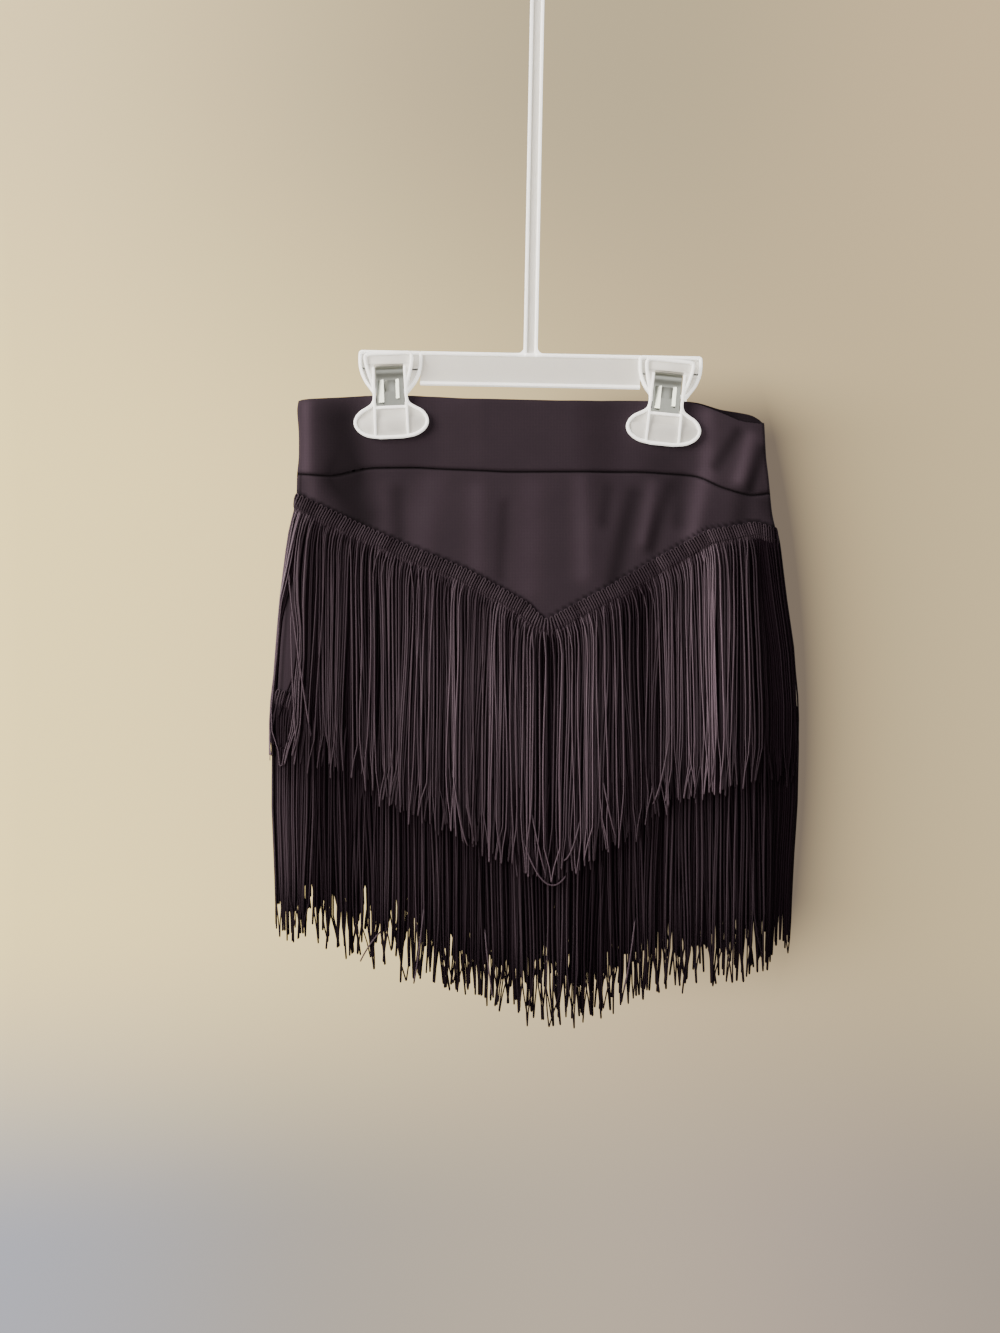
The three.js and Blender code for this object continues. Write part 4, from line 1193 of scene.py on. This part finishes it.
def rail_stations():
    """Stations along stem, neck and hook: middle point and direction across, in X and Z."""
    hanger = bpy.context.scene.skirt_hanger
    middle = hanger.hook_radius + hanger.stem_width / 2
    centre = -hanger.hook_radius
    start, end = math.radians(-38), math.radians(198)
    pull = 14 * MM
    bend = np.array([0, -66 * MM])
    arc_from = np.array([middle * math.cos(start), centre + middle * math.sin(start)])
    heading = np.array([-math.sin(start), math.cos(start)])
    handles = [bend, bend + [0, pull], arc_from - heading * pull, arc_from]
    points = [np.array([0, hanger.bar_top - hanger.rim]), np.array([0, -200 * MM])]
    for t in np.linspace(0, 1, 18, endpoint=False):
        weights = ((1 - t) ** 3, 3 * t * (1 - t) ** 2, 3 * t * t * (1 - t), t ** 3)
        points.append(sum(w * h for w, h in zip(weights, handles)))
    for angle in np.linspace(start, end, 52):
        points.append(np.array([middle * math.cos(angle), centre + middle * math.sin(angle)]))
    points = np.array(points)
    along = np.diff(points, axis=0)
    along /= np.linalg.norm(along, axis=1)[:, None]
    along = np.concatenate([along[:1], along[:-1] + along[1:], along[-1:]])
    along /= np.linalg.norm(along, axis=1)[:, None]
    return points, np.stack([along[:, 1], -along[:, 0]], -1)


def h_section(width, depth, web, rim):
    """Outline of a rail with softened corners: first across its width, second through its depth."""
    w, d, t, c = width / 2, depth / 2, web / 2, 0.35 * MM
    i = w - rim
    quarter = [(i - 1.2 * c, t), (i, t + 1.2 * c), (i, d - c), (i + c, d), (w - c, d), (w, d - c)]
    right = quarter + [(x, -y) for x, y in quarter[::-1]]
    return [(-x, y) for x, y in right[::-1]] + right


def between_levels(outline, low, high):
    """The part of an outline in X and Z between two heights."""
    return np.array([p for p in outline if low <= p[1] <= high])


def side_strip(edge, inner_x):
    """A strip between one side of an outline, sorted from the top, and an upright line at inner_x."""
    edge = sorted(edge, key=lambda p: -p[1])
    line = np.array(edge + [(inner_x, edge[-1][1]), (inner_x, edge[0][1])])
    return line if inner_x > 0 else line[::-1]


LEVER = mirrored(LEVER_OUTLINE, 6)
SHIELD = mirrored(SHIELD_OUTLINE, 5)
JAW_FROM = -348 * MM            # the rear jaw starts here, under the end plate's neck
STEP_LINE = -376.5 * MM         # the paddle's face is a little thicker below this
WINDOW_HALF = 10.7 * MM
WINDOW_TOP, WINDOW_FOOT = -338 * MM, -365.5 * MM
RIM_WIDTH = 2.1 * MM


def paddle(part, front, way):
    """Ribs and the thicker lower face of a jaw. way is -1 on the lever, 1 on the rear jaw."""
    hanger = bpy.context.scene.skirt_hanger
    high, root = front + way * hanger.rib, front - way * 0.5 * MM
    low = between_levels(inset(LEVER, 1.4 * MM), -1, STEP_LINE)
    part.plate(low, front + way * 0.8 * MM, root, 0.12 * MM, WEB)
    top, bottom, half = -340 * MM, -390.8 * MM, 0.85 * MM
    for side in (-1, 1):
        x_top, x_bottom = side * 11.4 * MM, side * 12.1 * MM
        upright = [(x_top - half, top), (x_top + half, top), (x_bottom + half, bottom),
                   (x_bottom - half, bottom)]
        part.plate(np.array(upright), high, root, 0.4 * MM)
    part.bar(-12 * MM, 12 * MM, high, root, -370.0 * MM, -368.1 * MM, 0.4 * MM)


def windowed(part, outline, front, back):
    """A plate with the spring's window in it, as strips round the window."""
    head = between_levels(outline, WINDOW_TOP - 0.2 * MM, 0)
    if len(head) > 2:
        part.plate(head, front, back, 0.15 * MM, FACE)
    foot = between_levels(outline, -1, WINDOW_FOOT + 0.2 * MM)
    part.plate(foot, front, back, 0.15 * MM, WEB)
    middle = between_levels(outline, WINDOW_FOOT - 1.2 * MM, WINDOW_TOP + 1.2 * MM)
    for side in (-1, 1):
        strip = side_strip([p for p in middle if p[0] * side > 0], side * WINDOW_HALF)
        part.plate(strip, front, back, 0.12 * MM, FACE)


def build_lever(side):
    """A front jaw: thumb tab, spring window and oval paddle, with a rim round all of it."""
    hanger = bpy.context.scene.skirt_hanger
    lever = Moulding()
    back = -hanger.jaw_gap
    front = back - hanger.plate
    windowed(lever, LEVER, front, back)
    lever.rim(LEVER, RIM_WIDTH, front - hanger.rib, back)
    paddle(lever, front, -1)
    lean = np.array([0, hanger.lean, 0])
    lever.move(lambda p: p - np.maximum(0, p[:, 2:3] - hanger.lean_from) * lean)
    lever.move(on_clip(side))
    return lever


def spring_strip(spring):
    """The strip itself: up one leg, over the bend at the top and down the other."""
    leg_y, foot, bend, top = 4.3 * MM, -367.8 * MM, 3.4 * MM, -338.4 * MM
    half_wide, half_thick = 10.2 * MM, 0.4 * MM
    leg = [(-leg_y, foot), (-leg_y + 0.2 * MM, foot + 6 * MM), (-3.0 * MM, -350 * MM),
           (-3.0 * MM, -346 * MM), (-bend, -344.6 * MM)]
    over = [(bend * math.cos(a), top - bend + bend * math.sin(a))
            for a in np.linspace(math.pi, 0, 13)]
    line = np.array(leg + over + [(-y, z) for y, z in leg[::-1]])
    along = np.gradient(line, axis=0)
    along /= np.linalg.norm(along, axis=1)[:, None]
    out = np.stack([-along[:, 1], along[:, 0]], -1)
    section = [(-1, -0.5), (-0.985, -1), (0.985, -1), (1, -0.5), (1, 0.5), (0.985, 1),
               (-0.985, 1), (-1, 0.5)]
    spring.levels([[(w * half_wide, p[0] + o[0] * t * half_thick, p[1] + o[1] * t * half_thick)
                    for w, t in section] for p, o in zip(line, out)])


def build_spring(side):
    """The bent steel strip, with a tongue and two raised flanges on each leg."""
    spring = Moulding()
    spring_strip(spring)
    root, tongue_face = 3.0, 4.1
    tongue = np.array([(-3.9, -349.2), (3.9, -349.2), (4.1, -366.4), (-4.3, -366.4)]) * MM
    for way in (-1, 1):
        spring.plate(tongue, way * tongue_face * MM, way * root * MM, 0.15 * MM)
        for x0, x1, high, low in ((-8.9, -4.5, -348.6, -366.6), (4.2, 6.8, -348.4, -364.0)):
            rise = (0.48 + 0.1 * side) * (x1 - x0)
            rings = [[(x0, way * root, z), (x1, way * root, z), (x1, way * (deep + rise), z),
                      (x0, way * deep, z)]
                     for z, deep in ((high, 3.2), (high - 1, 3.4), (low + 1, 5.0), (low, 3.1))]
            spring.levels(np.array(rings) * MM)
    spring.move(on_clip(side))
    return spring


def gusset(whole, side):
    """The round corner between the stem and the bar."""
    hanger = bpy.context.scene.skirt_hanger
    corner, lap = 6 * MM, 0.6 * MM
    edge, top = side * (hanger.stem_width / 2 - lap), hanger.bar_top - lap
    curve = [(edge + side * corner * (1 - math.sin(a)), top + corner * (1 - math.cos(a)))
             for a in np.linspace(0, math.pi / 2, 7)]
    line = np.array([(edge, top)] + curve)
    half = hanger.depth / 2 - 0.1 * MM
    whole.plate(line if side > 0 else line[::-1], -half, half, 0.12 * MM)


def build_end(side):
    """The end plate that a lever rocks on, with the rear jaw under it."""
    hanger = bpy.context.scene.skirt_hanger
    end = Moulding()
    front, far = hanger.shield_y, hanger.shield_y + hanger.shield_thick
    end.plate(between_levels(SHIELD, -341 * MM, 0), front, far, 0.15 * MM, WEB)
    for half in (-1, 1):
        edge = [p for p in SHIELD if p[0] * half > 0 and p[1] < -339 * MM]
        end.plate(side_strip(edge, half * WINDOW_HALF), front, far, 0.12 * MM, WEB)
    end.rim(SHIELD, RIM_WIDTH, -hanger.shield_rim, far)
    jaw_back = hanger.jaw_gap + hanger.plate
    windowed(end, between_levels(LEVER, -1, JAW_FROM), hanger.jaw_gap, jaw_back)
    end.rim(LEVER, RIM_WIDTH, jaw_back + hanger.rib, hanger.jaw_gap)
    paddle(end, jaw_back, 1)
    end.move(lambda p: p + np.array([side * hanger.clip_offset, 0, 0]))
    return end


def build_hanger():
    """Stem, hook, bar, end plates and rear jaws in one moulding."""
    hanger = bpy.context.scene.skirt_hanger
    whole = Moulding()
    section = h_section(hanger.stem_width, hanger.depth, hanger.web, hanger.rim)
    whole.sweep(section, *rail_stations())
    half = hanger.clip_offset - 22.3 * MM
    middle = hanger.bar_top - hanger.bar_height / 2
    section = h_section(hanger.bar_height, hanger.depth, hanger.web, hanger.rim)
    whole.sweep(section, [(-half, middle), (half, middle)], [(0, 1), (0, 1)])
    for side in (-1, 1):
        gusset(whole, side)
    for side in (-1, 1):
        whole.take(build_end(side))
    whole.move(lambda p: turned(p, hanger.tilt))
    return whole


# ------------------------------------------------------------------ stage

# Name, place, width, height, power and colour of each soft lamp.
LAMPS = (
    ("window", (-1.85, -1.2, 0.3), 1.3, 1.7, 142.0, "#fff8ee"),
    ("fill", (0.3, -2.6, 0.3), 1.6, 1.2, 22.0, "#f6f2f2"),
    ("behind_left", (-1.4, 1.6, 0.2), 1.4, 1.4, 40.0, "#fff6ec"),
    ("behind_right", (1.6, 1.3, 0.2), 1.4, 1.4, 22.0, "#f4f4f8"),
)


def add_camera(stage):
    camera = bpy.data.objects.new("camera", bpy.data.cameras.new("camera"))
    bpy.context.scene.collection.objects.link(camera)
    camera.location = (stage.centre_x, -stage.distance, stage.centre_z)
    camera.rotation_euler = (math.pi / 2, 0, 0)
    camera.data.sensor_fit = "VERTICAL"
    camera.data.sensor_height = 36.0
    camera.data.lens = camera.data.sensor_height * stage.distance / stage.view_height
    camera.data.clip_end = 50
    bpy.context.scene.camera = camera


def add_lamps(stage):
    middle = Vector((stage.centre_x, 0, stage.centre_z))
    for name, place, wide, high, power, colour in LAMPS:
        data = bpy.data.lights.new(name, "AREA")
        data.shape = "RECTANGLE"
        data.size, data.size_y = wide, high
        data.energy = power
        data.color = linear(colour)[:3]
        lamp = bpy.data.objects.new(name, data)
        lamp.location = place
        lamp.rotation_euler = (middle - lamp.location).to_track_quat("-Z", "Y").to_euler()
        bpy.context.scene.collection.objects.link(lamp)


def wall_tones(tree, way):
    """The plain wall: painted light and shade as tones from left to right in three bands that melt
    into each other.
    """
    side = add(tree, "ShaderNodeMapRange", {"Value": way.outputs["X"]},
               {"From Min": -0.29, "From Max": 0.29})
    bands = {}
    for level, colours in WALL.items():
        ramp = add(tree, "ShaderNodeValToRGB", {"Fac": side.outputs[0]})
        ramp.color_ramp.interpolation = "B_SPLINE"
        stops = ramp.color_ramp.elements
        while len(stops) < len(colours):
            stops.new(0.5)
        for stop, (at, colour) in zip(stops, colours):
            stop.position = at
            stop.color = linear(colour)
        bands[level] = ramp.outputs["Color"]
    wall = bands["low"]
    for level, fade_from, fade_to in (("middle", -0.32, -0.13), ("high", 0.08, 0.34)):
        fade = add(tree, "ShaderNodeMapRange", {"Value": way.outputs["Z"]},
                   {"From Min": fade_from, "From Max": fade_to}, interpolation_type="SMOOTHSTEP")
        wall = add(tree, "ShaderNodeMix", {0: fade.outputs[0], 6: wall, 7: bands[level]},
                   data_type="RGBA").outputs[2]
    return wall


def skirt_shade(tree, way):
    """How dark the skirt's soft shade is: it hugs the right edge, from the waist to the fringe."""
    level = add(tree, "ShaderNodeMath", {0: way.outputs["Z"]}, {1: 0.03}, operation="ADD")
    square = add(tree, "ShaderNodeMath", {0: level.outputs[0], 1: level.outputs[0]},
                 operation="MULTIPLY")
    bow = add(tree, "ShaderNodeMath", {0: square.outputs[0], 2: way.outputs["X"]}, {1: 0.74},
              operation="MULTIPLY_ADD")
    away = add(tree, "ShaderNodeMapRange", {"Value": bow.outputs[0]},
               {"From Min": 0.178, "From Max": 0.207, "To Min": 0.0, "To Max": -1.0}, clamp=False)
    cast = add(tree, "ShaderNodeMath", {0: away.outputs[0]}, operation="EXPONENT", use_clamp=True)
    for axis, fade_from, fade_to in (("Z", 0.178, 0.13), ("Z", -0.2, -0.13), ("X", 0.0, 0.1),
                                     ("Y", 0.2, 0.7)):
        fade = add(tree, "ShaderNodeMapRange", {"Value": way.outputs[axis]},
                   {"From Min": fade_from, "From Max": fade_to}, interpolation_type="SMOOTHSTEP")
        cast = add(tree, "ShaderNodeMath", {0: cast.outputs[0], 1: fade.outputs[0]},
                   operation="MULTIPLY")
    return cast.outputs[0]


def paint_room(stage):
    """The wall as the camera sees it, and the even light that the room sends back."""
    world = bpy.data.worlds.new("soft_room")
    world.use_nodes = True
    tree = world.node_tree
    tree.nodes.clear()
    place = add(tree, "ShaderNodeTexCoord")
    way = add(tree, "ShaderNodeSeparateXYZ", {"Vector": place.outputs["Generated"]})
    wall = add(tree, "ShaderNodeMix", {0: skirt_shade(tree, way), 6: wall_tones(tree, way)},
               {7: linear(stage.wall_shade)}, data_type="RGBA")
    seen = add(tree, "ShaderNodeBackground", {"Color": wall.outputs[2]},
               {"Strength": stage.wall_strength})
    room = add(tree, "ShaderNodeBackground", {}, {"Color": linear(stage.room_tone),
                                                  "Strength": stage.room_strength})
    ray = add(tree, "ShaderNodeLightPath")
    both = add(tree, "ShaderNodeMixShader",
               {0: ray.outputs["Is Camera Ray"], 1: room.outputs[0], 2: seen.outputs[0]})
    add(tree, "ShaderNodeOutputWorld", {"Surface": both.outputs[0]})
    bpy.context.scene.world = world


def add_floor(stage):
    mesh = bpy.data.meshes.new("floor")
    around = [(stage.floor_radius * math.cos(a), stage.floor_radius * math.sin(a), stage.floor_z)
              for a in np.linspace(0, 2 * math.pi, 96, endpoint=False)]
    mesh.from_pydata(around, [], [list(range(len(around)))])
    mesh.materials.append(floor_material("matt_floor_paint", stage.floor_tone))
    floor = bpy.data.objects.new("floor", mesh)
    bpy.context.scene.collection.objects.link(floor)


# ------------------------------------------------------------------ operators

class SKIRT_OT_stage(bpy.types.Operator):
    """Camera, soft light, wall and pale floor"""
    bl_idname = "skirt.stage"
    bl_label = "Stage"

    def execute(self, context):
        stage = context.scene.skirt_stage
        add_camera(stage)
        add_lamps(stage)
        paint_room(stage)
        add_floor(stage)
        return {"FINISHED"}


class SKIRT_OT_cloth(bpy.types.Operator):
    """Waistband and body, as thin shells of jersey"""
    bl_idname = "skirt.cloth"
    bl_label = "Band and body"

    def execute(self, context):
        cloth = context.scene.skirt_cloth
        jersey = jersey_material(cloth.jersey)
        shares = side_columns(cloth.columns)
        # The rows of faces lie closer together at cut edges and seams.
        band_rows = np.concatenate([[0, 0.012, 0.03], np.linspace(0.06, 0.94, 26),
                                    [0.962, 0.975, 0.985, 0.993, 1]])
        body_rows = np.concatenate([[0, 0.007], np.linspace(0.0125, 0.03, 9),
                                    np.linspace(0.038, 0.45, 40), np.linspace(0.45, 1, 20)[1:]])
        for face in FACES:
            band = cloth_shell(face, shares, band_rows, lambda x: WAIST(face, x),
                               lambda x: WAIST_SEAM(face, x), (0.5 * MM, 1.5 * MM))
            body = cloth_shell(face, shares, body_rows,
                               lambda x: WAIST_SEAM(face, x) + cloth.allowance,
                               lambda x: np.full_like(x, cloth.hem), (0.0, 0.3 * MM),
                               cloth.allowance)
            band_piece = new_piece(f"band_{face}", *shell_mesh(band, face), [jersey],
                                   f"waistband_{face}", "jersey")
            body_piece = new_piece(f"body_{face}", *shell_mesh(body, face), [jersey],
                                   f"skirt_{face}", "jersey")
            for piece, points in ((band_piece, band), (body_piece, body)):
                point_values(piece, "painted_light_and_shade", crease_shade(face, points).reshape(-1))
        return {"FINISHED"}


class SKIRT_OT_fringe(bpy.types.Operator):
    """Two rows of chainette fringe on the front and two on the back"""
    bl_idname = "skirt.fringe"
    bl_label = "Fringe"

    def execute(self, context):
        fringe = context.scene.skirt_fringe
        yarn = chainette_material(fringe.yarn, fringe.yarn_painted_lit)
        rng = np.random.default_rng(fringe.seed)
        for face in FACES:
            for row in ("upper", "lower"):
                add_row(face, row, yarn, rng)
        return {"FINISHED"}


class SKIRT_OT_hanger(bpy.types.Operator):
    """Hanger, levers and springs"""
    bl_idname = "skirt.hanger"
    bl_label = "Clip hanger"

    def execute(self, context):
        hanger = context.scene.skirt_hanger
        # One plastic in three whites: emission on the first paints light on rims, the greyer two paint
        # shade.
        white = [moulded_material("moulded_polypropylene", hanger.plastic, 0.34, hanger.painted_glow),
                 moulded_material("polypropylene_web_painted_shade", hanger.web_painted_shade, 0.4, 0.0),
                 moulded_material("polypropylene_face_painted_shade", hanger.face_painted_shade, 0.36, 0.0)]
        steel = [spring_material(hanger.steel)]
        build_hanger().make("moulded_hanger", white, "hanger", "plastic")
        for name, side in (("left", -1), ("right", 1)):
            build_lever(side).make(f"thumb_lever_{name}", white, f"clip_lever_{name}", "plastic")
            build_spring(side).make(f"steel_spring_{name}", steel, f"clip_spring_{name}",
                                    "spring_steel")
        return {"FINISHED"}


class SKIRT_PT_panel(bpy.types.Panel):
    """Everything that builds the skirt"""
    bl_label = "Fringe skirt"
    bl_idname = "SKIRT_PT_panel"
    bl_space_type = "VIEW_3D"
    bl_region_type = "UI"
    bl_category = "Skirt"

    def draw(self, context):
        for step in STEPS:
            self.layout.operator(step.bl_idname)


STEPS = (SKIRT_OT_stage, SKIRT_OT_cloth, SKIRT_OT_fringe, SKIRT_OT_hanger)
GROUPS = {
    "skirt_cloth": SkirtCloth,
    "skirt_fringe": SkirtFringe,
    "skirt_hanger": SkirtHanger,
    "skirt_stage": SkirtStage,
}
CLASSES = (*GROUPS.values(), *STEPS, SKIRT_PT_panel)


def register():
    for each in CLASSES:
        bpy.utils.register_class(each)
    for name, group in GROUPS.items():
        setattr(bpy.types.Scene, name, PointerProperty(type=group))


def unregister():
    for name in GROUPS:
        delattr(bpy.types.Scene, name)
    for each in reversed(CLASSES):
        bpy.utils.unregister_class(each)


def main():
    register()
    bpy.ops.skirt.stage()
    bpy.ops.skirt.cloth()
    bpy.ops.skirt.fringe()
    bpy.ops.skirt.hanger()


if __name__ == "__main__":
    main()
